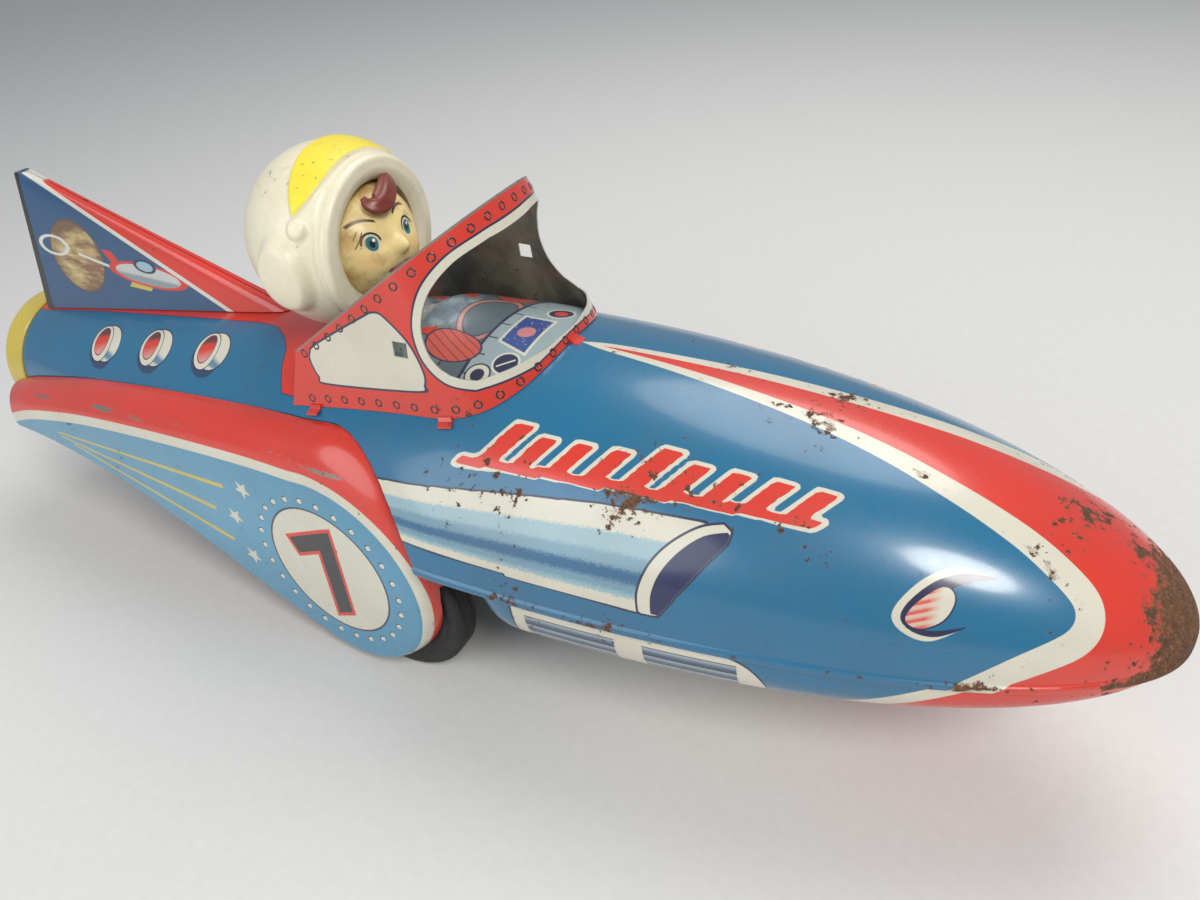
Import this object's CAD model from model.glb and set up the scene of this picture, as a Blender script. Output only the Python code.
"""Looks of a friction-driven tin rocket racer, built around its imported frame.

Lengths inside the script are millimetres, +X is the nose and +Z is up. The right side is -Y.
"""

import math

import bmesh
import bpy
import numpy as np
from mathutils import Matrix, Vector


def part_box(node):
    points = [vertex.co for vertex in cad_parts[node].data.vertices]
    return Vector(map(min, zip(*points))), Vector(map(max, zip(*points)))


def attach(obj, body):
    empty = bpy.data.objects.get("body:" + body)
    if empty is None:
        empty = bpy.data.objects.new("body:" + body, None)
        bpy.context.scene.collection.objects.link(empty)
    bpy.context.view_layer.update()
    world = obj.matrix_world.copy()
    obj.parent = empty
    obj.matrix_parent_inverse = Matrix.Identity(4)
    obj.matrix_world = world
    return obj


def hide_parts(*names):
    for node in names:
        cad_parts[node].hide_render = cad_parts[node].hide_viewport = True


bl_info = {
    "name": "Tin rocket racer",
    "version": (1, 0, 0),
    "blender": (4, 5, 0),
    "location": "3D View > Sidebar > Tin Rocket",
    "description": "Builds the printed tin shells, pods, pilot and wheels of a tin rocket racer",
    "category": "Object",
}

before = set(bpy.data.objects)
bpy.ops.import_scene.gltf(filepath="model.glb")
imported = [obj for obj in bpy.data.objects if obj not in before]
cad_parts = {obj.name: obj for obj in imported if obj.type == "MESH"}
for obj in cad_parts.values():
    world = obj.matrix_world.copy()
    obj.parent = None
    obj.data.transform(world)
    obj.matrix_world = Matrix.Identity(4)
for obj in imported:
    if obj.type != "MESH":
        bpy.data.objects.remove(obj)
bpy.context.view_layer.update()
MM = 0.001


def span(node):
    low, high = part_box(node)
    return low / MM, high / MM


# ---- sizes read from the frame -------------------------------------------------------

TIN = 0.5
GAP = 0.3
SKIRT_HEIGHT = 2.4
SKIRT_STEP = 0.7
SKIRT_ROOT = 0.8
WIDEST_X = 18.0
TAIL_RADIUS = 22.0
NOSE_X = -span("tail_cup")[0].x
TAIL_X = span("upper_shell")[0].x
SEAM_Z = (span("tail_cup")[0].z + span("tail_cup")[1].z) / 2
HALF_WIDTH = span("upper_shell")[1].y - SKIRT_STEP
CROWN_HEIGHT = span("upper_shell")[1].z - SEAM_Z
CROWN_Z = SEAM_Z + CROWN_HEIGHT
BELLY_DEPTH = 23.6
BELLY_FULLNESS = 3.0
BELLY_FLAT_Z = span("lower_shell")[0].z
STERN_X = span("lower_shell")[0].x
STERN_RADIUS = 16.0

AXLE = (span("drive_axle")[0] + span("drive_axle")[1]) / 2
WHEEL_RADIUS = AXLE.z
TYRE_LOW, TYRE_HIGH = span("tyre_left")
TYRE_MID_Y = (TYRE_LOW.y + TYRE_HIGH.y) / 2
TYRE_HALF = (TYRE_HIGH.y - TYRE_LOW.y) / 2
RIM_RADIUS = 15.0

POD_RADIUS = 29.5
POD_X = AXLE.x - 14.0
POD_Z = SEAM_Z - 19.2
POD_TAIL_X = TAIL_X + 2.0
POD_PANEL_Y = 44.4
POD_DEPTH = 10.6
POD_YAW = 0.0745

SCREEN_FOOT = dict(half=30.5, front=35.0, rear=-34.0, corner=8.0, fullness=2.6)
SCREEN_EDGE = dict(half=28.0, front=19.5, rear=-30.0, corner=-4.0, fullness=2.4)
SCREEN_RISE = 35.8
SCREEN_SLOPE = 0.725

HEAD_RADIUS = 24.1
HEAD_X = -32.5
FIN_TOP_Z = span("fin_half_right")[1].z


class RocketSizes(bpy.types.PropertyGroup):
    """Sizes of the surface detail, in metres."""

    ring_radius: bpy.props.FloatProperty(
        name="Ring radius", description="Printed rivet rings on the windscreen",
        default=0.0009, unit="LENGTH")
    ring_line: bpy.props.FloatProperty(
        name="Ring line", description="Half width of a ring's line",
        default=0.00022, unit="LENGTH")
    ring_spacing: bpy.props.FloatProperty(
        name="Ring spacing", description="Distance between two rivet rings",
        default=0.0057, unit="LENGTH")
    dot_radius: bpy.props.FloatProperty(
        name="Dot radius", description="White dots round the pods' roundels",
        default=0.00095, unit="LENGTH")
    dot_circle: bpy.props.FloatProperty(
        name="Dot circle", description="Radius of the circle of dots",
        default=0.0240, unit="LENGTH")
    dot_count: bpy.props.IntProperty(
        name="Dots", description="Dots in the circle", default=26, min=6)
    print_step: bpy.props.FloatProperty(
        name="Print step", description="Mesh spacing that carries the printed outlines",
        default=0.001, unit="LENGTH")


def colour_property(name, description, default):
    return bpy.props.FloatVectorProperty(
        name=name, description=description, default=default, subtype="COLOR", size=3, min=0, max=1)


class RocketColours(bpy.types.PropertyGroup):
    """Inks, vinyl and bare metal, as linear colours."""

    azure: colour_property("Azure", "Body's blue ink", (0.005, 0.128, 0.250))
    deep_blue: colour_property("Deep blue", "Fin's blue ink", (0.012, 0.070, 0.165))
    sky: colour_property("Sky", "Pods' light blue ink", (0.050, 0.235, 0.370))
    red: colour_property("Red", "Body's orange red ink", (0.600, 0.030, 0.014))
    cream: colour_property("Cream", "Unprinted white ground, yellowed", (0.600, 0.570, 0.460))
    navy: colour_property("Navy", "Dark outlines", (0.010, 0.014, 0.055))
    black: colour_property("Black", "Black ink", (0.012, 0.011, 0.012))
    yellow: colour_property("Yellow", "Tail cup's and rays' yellow", (0.560, 0.430, 0.060))
    halftone: colour_property("Halftone", "Pale dotted blue of the scoop", (0.270, 0.410, 0.450))
    vinyl: colour_property("Vinyl", "Helmet's soft vinyl", (0.720, 0.670, 0.500))
    skin: colour_property("Skin", "Yellowed face", (0.780, 0.610, 0.270))
    hair: colour_property("Hair", "Painted curl", (0.165, 0.024, 0.014))
    tin: colour_property("Bare tin", "Tin plate where nothing is printed", (0.330, 0.315, 0.285))
    rust: colour_property("Rust", "Rusted sheet", (0.100, 0.043, 0.018))


# ---- shader expressions --------------------------------------------------------------


class Number:
    """A number in a node tree that adds Math nodes as Python expressions use it."""

    def __init__(self, finish, socket):
        self.finish = finish
        self.socket = socket

    def math(self, operation, *others):
        return self.finish.math(operation, self, *others)

    def __add__(self, other): return self.math("ADD", other)
    def __radd__(self, other): return self.math("ADD", other)
    def __sub__(self, other): return self.math("SUBTRACT", other)
    def __rsub__(self, other): return self.finish.math("SUBTRACT", other, self)
    def __mul__(self, other): return self.math("MULTIPLY", other)
    def __rmul__(self, other): return self.math("MULTIPLY", other)
    def __truediv__(self, other): return self.math("DIVIDE", other)
    def __rtruediv__(self, other): return self.finish.math("DIVIDE", other, self)
    def __pow__(self, other): return self.math("POWER", other)
    def __neg__(self): return self.math("MULTIPLY", -1.0)
    def __abs__(self): return self.math("ABSOLUTE")

    def least(self, other): return self.math("MINIMUM", other)
    def most(self, other): return self.math("MAXIMUM", other)
    def clipped(self): return self.math("MINIMUM", 1.0).math("MAXIMUM", 0.0)
    def wrapped(self, period): return self.math("WRAP", period, 0.0)

    def below(self, limit, soft=0.12):
        """1 where the number is under limit, 0 above, with an edge `soft` wide."""
        return ((limit - self) / soft + 0.5).clipped()

    def above(self, limit, soft=0.12):
        return ((self - limit) / soft + 0.5).clipped()

    def between(self, low, high, soft=0.12):
        return self.above(low, soft) * self.below(high, soft)


class Finish:
    """One material: its tree, its surface shader and the expressions that feed it."""

    def __init__(self, name):
        self.material = bpy.data.materials.new(name)
        self.material.use_nodes = True
        self.tree = self.material.node_tree
        self.tree.nodes.clear()
        self.output = self.tree.nodes.new("ShaderNodeOutputMaterial")
        self.shader = self.tree.nodes.new("ShaderNodeBsdfPrincipled")
        self.tree.links.new(self.shader.outputs[0], self.output.inputs[0])
        self._position = None

    def node(self, kind, settings=None, inputs=None):
        node = self.tree.nodes.new(kind)
        for key, value in (settings or {}).items():
            setattr(node, key, value)
        for key, value in (inputs or {}).items():
            self.feed(node.inputs[key], value)
        return node

    def feed(self, socket, value):
        if isinstance(value, Number):
            value = value.socket
        if isinstance(value, bpy.types.NodeSocket):
            self.tree.links.new(value, socket)
        elif socket.type == "RGBA":
            socket.default_value = (*value[:3], 1.0)
        else:
            socket.default_value = value

    def math(self, operation, *values):
        node = self.node("ShaderNodeMath", {"operation": operation})
        for socket, value in zip(node.inputs, values):
            self.feed(socket, value)
        return Number(self, node.outputs[0])

    def position(self):
        """Object coordinates in millimetres, as three numbers."""
        if self._position is None:
            place = self.node("ShaderNodeTexCoord").outputs["Object"]
            parts = self.node("ShaderNodeSeparateXYZ", inputs={0: place})
            self._position = [Number(self, parts.outputs[i]) * 1000.0 for i in range(3)]
        return self._position

    def attribute(self, name):
        node = self.node("ShaderNodeAttribute", {"attribute_name": name})
        return Number(self, node.outputs["Fac"])

    def noise(self, scale, detail=3.0, rough=0.55, stretch=(1.0, 1.0, 1.0), shift=0.0):
        """Noise whose largest lumps are about 1000 / scale millimetres."""
        place = self.node("ShaderNodeTexCoord").outputs["Object"]
        mapped = self.node("ShaderNodeMapping", inputs={
            "Vector": place, "Scale": stretch, "Location": (shift, 0.7 * shift, -shift)})
        node = self.node("ShaderNodeTexNoise", inputs={
            "Vector": mapped.outputs[0], "Scale": scale, "Detail": detail, "Roughness": rough})
        return Number(self, node.outputs["Fac"])

    def cells(self, scale, shift=0.0):
        place = self.node("ShaderNodeTexCoord").outputs["Object"]
        mapped = self.node("ShaderNodeMapping", inputs={
            "Vector": place, "Location": (shift, shift, shift)})
        node = self.node("ShaderNodeTexVoronoi", inputs={
            "Vector": mapped.outputs[0], "Scale": scale, "Randomness": 1.0})
        return Number(self, node.outputs["Distance"])

    def mix(self, factor, a, b):
        node = self.node("ShaderNodeMix", {"data_type": "RGBA", "clamp_factor": True})
        self.feed(node.inputs[0], factor)
        self.feed(node.inputs[6], a)
        self.feed(node.inputs[7], b)
        return node.outputs[2]

    def blend(self, factor, a, b):
        """A number that goes from a to b with factor."""
        return factor * b + (1.0 - factor) * a

    def layers(self, base, *pairs):
        """Paints colours over a base, each with its mask, in order."""
        colour = base
        for mask, ink in pairs:
            colour = self.mix(mask, colour, ink)
        return colour

    def bump(self, height, depth_mm):
        node = self.node("ShaderNodeBump", inputs={"Strength": 1.0, "Distance": depth_mm * MM})
        self.feed(node.inputs["Height"], height)
        return node.outputs["Normal"]

    def surface(self, **values):
        """Sets the surface shader's sockets by name, with _ for a space."""
        for key, value in values.items():
            self.feed(self.shader.inputs[key.replace("_", " ")], value)
        return self.material


def ellipse(u, v, cu, cv, ru, rv):
    """1 at the edge of an ellipse, less inside."""
    du = (u - cu) / ru
    dv = (v - cv) / rv
    return (du * du + dv * dv) ** 0.5


def aged_tin(finish, ink, worn=0.0, rusty=0.0, gloss=0.24, dirt=0.35):
    """Gloss ink on tin plate with specks, scratches and rust.

    worn and rusty are masks, or plain numbers, that add wear and rust where they are high.
    """
    colours = bpy.context.scene.rocket_colours
    lumps = finish.noise(55.0, 5.0, 0.62)
    fine = finish.noise(420.0, 4.0, 0.65, shift=0.3)
    grit = finish.noise(1500.0, 2.0, 0.6, shift=0.9)
    streak = finish.noise(260.0, 2.0, 0.5, stretch=(0.10, 1.0, 1.0), shift=1.7)
    patch = finish.noise(17.0, 3.0, 0.5, shift=2.3)
    specks = (fine + (lumps - 0.5) * 0.75 + (patch - 0.5) * 0.4 + rusty * 0.55).above(0.775, 0.05)
    heavy = (fine * 0.55 + lumps * 0.75 + rusty).above(1.02, 0.10)
    rust = specks.most(heavy)
    scratch = (streak + (grit - 0.5) * 0.35 + worn * 0.6).above(0.82, 0.04)
    rub = (fine * 0.7 + grit * 0.45 + worn).above(1.08, 0.08)
    bare = scratch.most(rub) * (1.0 - rust)
    film = (lumps * 0.6 + patch * 0.6).above(0.62, 0.35) * dirt
    rust_colour = finish.layers(
        colours.rust,
        (grit.above(0.55, 0.2) * 0.7, tuple(min(1.0, c * 2.3) for c in colours.rust)),
        (fine.above(0.55, 0.2) * 0.55, tuple(c * 0.35 for c in colours.rust)))
    tired = finish.mix(film, ink, finish.mix(0.5, ink, (0.075, 0.055, 0.035)))
    base = finish.layers(tired, (bare, finish.mix(0.45, colours.tin, (0.20, 0.15, 0.10))),
                         (rust, rust_colour))
    rough = finish.blend(rust, finish.blend(bare, gloss + film * 0.35 + (fine - 0.5) * 0.12, 0.45), 0.88)
    height = rust * (grit * 0.9 + 0.35) + (1.0 - bare) * 0.25 + lumps * 0.5
    return finish.surface(
        Base_Color=base, Roughness=rough, Metallic=bare * 0.8,
        Coat_Weight=(1.0 - rust.most(bare)) * 0.55, Coat_Roughness=0.12,
        Normal=finish.bump(height, 0.10))


# ---- outlines and fields -------------------------------------------------------------


def smooth(points, steps=6, closed=True):
    """A Catmull-Rom curve through a few hand-placed points."""
    p = np.asarray(points, float)
    n = len(p)
    count = n if closed else n - 1
    t = np.linspace(0, 1, steps, endpoint=False)[:, None]
    run = []
    for i in range(count):
        if closed:
            a, b, c, d = p[i - 1], p[i], p[(i + 1) % n], p[(i + 2) % n]
        else:
            a, b, c, d = p[max(i - 1, 0)], p[i], p[i + 1], p[min(i + 2, n - 1)]
        run.append(0.5 * (2 * b + (c - a) * t + (2 * a - 5 * b + 4 * c - d) * t ** 2
                          + (3 * b - a - 3 * c + d) * t ** 3))
    if not closed:
        run.append(p[-1:])
    return np.vstack(run)


def inside(plane, outline):
    """True for the points of a plane that lie in a closed outline."""
    hit = np.zeros(len(plane), bool)
    for (ax, ay), (bx, by) in zip(outline, np.roll(outline, -1, axis=0)):
        if ay == by:
            continue
        crosses = (ay > plane[:, 1]) != (by > plane[:, 1])
        at = ax + (plane[:, 1] - ay) / (by - ay) * (bx - ax)
        hit ^= crosses & (plane[:, 0] < at)
    return hit


def line_distance(places, line, reach):
    """Distance of points to a line through a run of points, at most reach."""
    best = np.full(len(places), reach ** 2)
    for a, b in zip(line[:-1], line[1:]):
        step = b - a
        t = np.clip((places - a) @ step / max(float(step @ step), 1e-9), 0, 1)
        best = np.minimum(best, ((places - a - t[:, None] * step) ** 2).sum(1))
    return np.sqrt(best)


def outline_distance(places, plane, outline, lift=None, reach=9.0):
    """Signed distance of surface points to a printed outline, negative inside.

    plane holds the points' print coordinates, lift takes the outline's to the surface.
    """
    outline = np.asarray(outline, float)
    lifted = outline if lift is None else lift(outline[:, 0], outline[:, 1])
    source = plane if lift is None else places
    within = inside(plane, outline)
    margin = 14.0
    near = np.all((plane > outline.min(0) - margin) & (plane < outline.max(0) + margin), axis=1)
    distance = np.full(len(plane), reach)
    distance[near] = line_distance(source[near], np.vstack([lifted, lifted[:1]]), reach)
    return np.where(within, -distance, distance)


def mesh_places(obj):
    places = np.zeros(len(obj.data.vertices) * 3, np.float32)
    obj.data.vertices.foreach_get("co", places)
    return places.reshape(-1, 3).astype(float) / MM


def store(obj, name, values):
    attribute = obj.data.attributes.new(name, "FLOAT", "POINT")
    attribute.data.foreach_set("value", np.asarray(values, np.float32))


# ---- mesh helpers --------------------------------------------------------------------


def new_object(name, verts, faces, smooth_angle=35.0):
    mesh = bpy.data.meshes.new(name)
    mesh.from_pydata((np.asarray(verts, float) * MM).tolist(), [], faces)
    mesh.validate()
    obj = bpy.data.objects.new(name, mesh)
    bpy.context.scene.collection.objects.link(obj)
    tidy_normals(obj)
    shade(obj, smooth_angle)
    return obj


def tidy_normals(obj, merge=1e-6):
    work = bmesh.new()
    work.from_mesh(obj.data)
    bmesh.ops.remove_doubles(work, verts=work.verts, dist=merge)
    bmesh.ops.recalc_face_normals(work, faces=work.faces)
    work.to_mesh(obj.data)
    work.free()


def shade(obj, angle):
    obj.data.shade_smooth()
    obj.data.set_sharp_from_angle(angle=math.radians(angle))


def loft(name, rings, smooth_angle=35.0):
    """A closed skin through rings of equally many points, with flat ends."""
    rings = np.asarray(rings, float)
    rows, around = rings.shape[:2]
    faces = [(i * around + k, i * around + (k + 1) % around,
              (i + 1) * around + (k + 1) % around, (i + 1) * around + k)
             for i in range(rows - 1) for k in range(around)]
    faces.append(tuple(reversed(range(around))))
    faces.append(tuple((rows - 1) * around + k for k in range(around)))
    return new_object(name, rings.reshape(-1, 3), faces, smooth_angle)


def turned(name, profile, centre, axis="Y", sides=96, smooth_angle=35.0):
    """A turned piece from a closed run of (radius, along) points."""
    rings = []
    for k in range(sides):
        a = 2 * math.pi * k / sides
        rings.append([(r * math.cos(a), h, r * math.sin(a)) for r, h in profile])
    points = np.array(rings)
    if axis == "X":
        points = points[..., [1, 0, 2]]
    if axis == "Z":
        points = points[..., [0, 2, 1]]
    count = len(profile)
    faces = [(k * count + j, k * count + (j + 1) % count,
              ((k + 1) % sides) * count + (j + 1) % count, ((k + 1) % sides) * count + j)
             for k in range(sides) for j in range(count)]
    return new_object(name, points.reshape(-1, 3) + np.array(centre), faces, smooth_angle)


def drum(name, radius, ends, centre, axis):
    """A solid cylinder between two places on its axis."""
    low, high = ends
    obj = turned(name, [(0.001, low), (radius, low), (radius, high), (0.001, high)], centre, axis, 64)
    tidy_normals(obj, 1e-5)
    return obj


def bake_down(obj, smooth_angle=35.0):
    """Replaces an object's mesh by its evaluated one and drops its modifiers."""
    evaluated = obj.evaluated_get(bpy.context.evaluated_depsgraph_get())
    mesh = bpy.data.meshes.new_from_object(evaluated)
    obj.modifiers.clear()
    obj.data = mesh
    shade(obj, smooth_angle)
    return obj


def combined(obj, others, operation="DIFFERENCE", smooth_angle=35.0):
    """Cuts other solids from obj, or joins them to it, and removes them."""
    for other in others:
        modifier = obj.modifiers.new("Combine", "BOOLEAN")
        modifier.operation = operation
        modifier.solver = "MANIFOLD"
        modifier.object = other
    bake_down(obj, smooth_angle)
    for other in others:
        bpy.data.objects.remove(other)
    if not obj.data.polygons:
        raise RuntimeError(f"{obj.name} came out empty")
    return obj


def mirrored(obj, name):
    """A left-hand copy of a right-hand piece."""
    mesh = obj.data.copy()
    mesh.transform(Matrix.Diagonal((1, -1, 1, 1)))
    mesh.flip_normals()
    copy = bpy.data.objects.new(name, mesh)
    bpy.context.scene.collection.objects.link(copy)
    return copy


def joined(name, objects):
    """One object from several, with all their materials."""
    with bpy.context.temp_override(active_object=objects[0], selected_editable_objects=objects):
        bpy.ops.object.join()
    objects[0].name = name
    return objects[0]


def finished(obj, material, body, slot, *nodes):
    """Gives a piece its material, body and record slot, and the frame nodes it stands for."""
    if material is not None:
        obj.data.materials.clear()
        obj.data.materials.append(material)
    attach(obj, body)
    if nodes:
        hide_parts(*nodes)
    return obj


def recoated(material, *names):
    """Coats frame nodes whose own meshes are kept."""
    for name in names:
        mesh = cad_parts[name].data
        mesh.materials.clear()
        mesh.materials.append(material)


# ---- body surface --------------------------------------------------------------------


def taper(x, softness):
    s = np.clip((WIDEST_X - x) / (WIDEST_X - TAIL_X), 0, 1)
    one = math.sqrt(1 + softness ** 2) - softness
    return (np.sqrt(s * s + softness ** 2) - softness) / one


def nose_share(x):
    return np.clip((x - WIDEST_X) / (NOSE_X - WIDEST_X), 0, 1)


def body_half_width(x):
    x = np.asarray(x, float)
    front = HALF_WIDTH * (1 - nose_share(x) ** 2.1) ** (1 / 2.1)
    rear = HALF_WIDTH - (HALF_WIDTH - TAIL_RADIUS) * taper(x, 0.05)
    return np.where(x > WIDEST_X, front, rear)


def body_height(x):
    x = np.asarray(x, float)
    front = CROWN_HEIGHT * (1 - nose_share(x) ** 2.4) ** 0.62
    rear = CROWN_HEIGHT - (CROWN_HEIGHT - TAIL_RADIUS) * taper(x, 0.12)
    return np.where(x > WIDEST_X, front, rear)


def body_top(x, y):
    share = np.clip(np.asarray(y, float) / body_half_width(x), -1, 1)
    return SEAM_Z + body_height(x) * np.sqrt(1 - share ** 2)


def flat_y(x):
    return POD_PANEL_Y - POD_DEPTH + POD_YAW * (x - AXLE.x)


def on_body(x, angle):
    """Surface points from x and the angle in degrees above the right seam."""
    a = np.radians(angle)
    y = -body_half_width(x) * np.where(a > 0, np.cos(a), 1.0)
    return np.stack([x, y, SEAM_Z + body_height(x) * np.sin(a)], axis=-1)


def body_angle(places):
    """Angle above the nearer seam, in degrees."""
    x, y, z = places.T
    high = np.maximum(body_height(x), 1.0)
    wide = np.maximum(body_half_width(x), 1.0)
    angle = np.degrees(np.arctan2((z - SEAM_Z) / high, np.abs(y) / wide))
    below = np.degrees(np.arcsin(np.clip((z - SEAM_Z) / high, -1, 0)))
    return np.where(z < SEAM_Z, below, angle)


def folded(places):
    """The same points on the right side."""
    return places * [1, 0, 1] + np.abs(places) * [0, -1, 0]


def nose_stations(start, count, inset=0.0):
    angles = np.linspace(0, math.asin(0.9995), count + 1)
    return start + (NOSE_X - start) * np.sin(angles) - inset * np.linspace(0, 1, count + 1) ** 0.2


def hood_ring(x, inset, below, around):
    wide = max(float(body_half_width(x + inset)) - inset, 0.4)
    high = max(float(body_height(x + inset)) - inset, 0.4)
    step = SKIRT_STEP * min(1, wide / 12)
    arc = [(-wide * math.cos(a), SEAM_Z + high * math.sin(a)) for a in np.linspace(0, math.pi, around)]
    side = [(wide + 0.12 * step, -0.25), (wide + 0.5 * step, -0.5), (wide + 0.9 * step, -0.75),
            (wide + step, -1.1), (wide + step, -below + 0.35), (wide + 0.8 * step, -below)]
    if inset:
        side = [(wide + step, -SKIRT_ROOT), (wide + step, -below)]
    right = [(-y, SEAM_Z + z) for y, z in reversed(side)]
    left = [(y, SEAM_Z + z) for y, z in side]
    return [(x, y, z) for y, z in right + arc + left]


def hood_solid(name, inset, below, step, around):
    rear = np.arange(TAIL_X - (1 if inset else 0), WIDEST_X, step)
    nose = nose_stations(WIDEST_X, int(190 / step), inset)
    return loft(name, [hood_ring(x, inset, below, around) for x in [*rear, *nose]])


def pod_outline(detail=3):
    """The pod's panel from its tail along the underside, round the front and back on top."""
    def back(share):
        return POD_X + (POD_TAIL_X - POD_X) * share
    under = [(POD_TAIL_X, SEAM_Z - 10.5), (back(0.854), SEAM_Z - 11.2), (back(0.632), SEAM_Z - 16.5),
             (back(0.413), SEAM_Z - 27), (back(0.201), SEAM_Z - 39.7)]
    top = [(back(0.181), SEAM_Z + 8.9), (back(0.451), SEAM_Z + 5.2), (back(0.701), SEAM_Z + 0.4),
           (back(0.903), SEAM_Z - 5.8), (POD_TAIL_X, SEAM_Z - 10.5)]
    arc = [(POD_X + POD_RADIUS * math.cos(a), POD_Z + POD_RADIUS * math.sin(a))
           for a in np.linspace(-1.9, 1.75, 15 * detail)]
    lower = smooth(under + arc[:1], 4 * detail, closed=False)[:-1]
    upper = smooth(arc[-1:] + top, 4 * detail, closed=False)[1:-1]
    return np.vstack([lower, arc, upper])


def pod_grown(points, bulge, inset):
    """Points of the pod's outline after its shoulder's growth, 0 at the panel, 1 at the flat."""
    px, pz = points[:, 0], points[:, 1]
    tail = np.clip((POD_X - px) / (POD_X - POD_TAIL_X), 0, 1)
    spine = POD_Z + (SEAM_Z - 10.8 - POD_Z) * tail + 6 * np.sin(math.pi * tail)
    away = np.stack([px - np.minimum(px, POD_X), pz - spine], axis=-1)
    away /= np.maximum(np.linalg.norm(away, axis=1), 0.5)[:, None]
    corner = 9 * np.maximum(away[:, 0], 0) * np.maximum(away[:, 1], 0)
    rise = np.where(away[:, 1] > 0, 15 * (1 - 0.3 * tail), 1.5)
    x = px + bulge * ((5 + corner) * np.maximum(away[:, 0], 0) - 8 * tail ** 4) - inset * away[:, 0]
    z = pz + bulge * (rise + corner) * away[:, 1] - inset * away[:, 1]
    return np.stack([x, z], axis=-1)


def pod_pocket(name, inset=0.0):
    """Solid of the hollow that a right pod sits in."""
    outline = pod_grown(pod_outline(2), 1, -GAP - inset)
    near = [(x, -(flat_y(x) - inset), z) for x, z in outline]
    far = [(x, y - HALF_WIDTH, z) for x, y, z in near]
    return loft(name, [near, far])


# ---- printed body --------------------------------------------------------------------


def crown_offset(x, half):
    """Print point on the hood at a distance from its centre line."""
    return (x, 90 - math.degrees(math.asin(half / float(body_half_width(x)))))


BLUE_FIELD = [(-210, -40), (-210, 130), (36.0, 130), (36.5, 90.3),
              crown_offset(44, 1.6), crown_offset(62, 3.5), crown_offset(82, 5.8), crown_offset(100, 8.0),
              crown_offset(115, 10.4), crown_offset(126, 12.6), crown_offset(134.5, 14.2),
              (143, 60), (149.5, 53), (154, 46), (155.6, 40), (155.2, 33), (152.5, 26),
              (145.4, 13.5), (138, 0), (118, -40)]
RED_BACK = [(-200, 100), crown_offset(-200, 7.6), crown_offset(-168, 7.4), crown_offset(-139, 6.8),
            crown_offset(-94, 7.2), crown_offset(-64, 7.6), crown_offset(-56, 9.0), crown_offset(-50.5, 12.4),
            crown_offset(-46.5, 16.5), crown_offset(-44, 22), crown_offset(-40, 28), crown_offset(-30, 29),
            (-28, 100)]
SCOOP_TOP = [(-10, 26.0), (10.4, 29.2), (35, 34.0), (59.6, 38.2), (83.3, 40.2)]
SCOOP_LOW = [(-10, 10.2), (17.5, 9.3), (72.8, 7.9)]
SCOOP_MOUTH = [(87, 41), (82.3, 38.4), (77, 32), (73.2, 24.2), (71.3, 15), (71.7, 7.3)]
MOUTH_INNER = [(86.8, 38.4), (83.1, 36.0), (78.9, 30), (75.7, 22.6), (74.2, 15), (74.4, 7.9)]
MOUTH_CUT = [(76, 7.5), (82.3, 22), (88.6, 35.8), (88.9, 39.3)]
LAMP_OUTER = [(140.4, 46.2), (134, 47.0), (128.3, 41.5), (124.2, 32), (123, 24.6), (125.8, 19.4), (131, 17.8),
              (136.8, 25.6), (131.8, 20.4), (127.1, 21.0), (124.7, 25.2), (126, 32), (130, 40), (135, 45.0)]
LAMP_SHADE = [(140.4, 46.2), (135, 45.4), (130, 40.4), (126, 32), (124.7, 25.2), (127.1, 20.8), (131.8, 20.0),
              (136.8, 25.6), (132.4, 22.4), (128.3, 22.0), (126.4, 25.6), (128.4, 31.5), (131.8, 37.2),
              (135.2, 42.0)]
LAMP_GLASS = [(125.6, 25.6), (127.2, 31.5), (130.9, 38.4), (133.2, 37.6), (133.8, 33), (132.4, 26.4),
              (129.0, 22.2), (126.5, 22.8)]
PORTHOLES = [(-124.8, 51.0), (-100.2, 54.6), (-75.2, 58.3)]


def speed_bars():
    """Outlines of the slanted bars on the hood and the strip they stand on."""
    def base(x):
        return 39.6 + (x - 22.7) * 0.082
    strip = [(21.5, base(21.5)), (104.5, base(104.5)), (106.5, base(106.5) + 2.6), (22.9, base(22.9) + 2.6)]
    bars = []
    for i in range(9):
        x = 26.5 + i * 8.9
        tall = 14.6 if i in (0, 4) else 11.4
        lean = 0.52 * tall
        wide = 4.9 if i in (0, 4) else 4.3
        foot = base(x) + 1.0
        bars.append([(x, foot), (x + wide, foot), (x + wide + lean, foot + tall), (x + lean, foot + tall)])
    return [strip, *bars]


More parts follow.
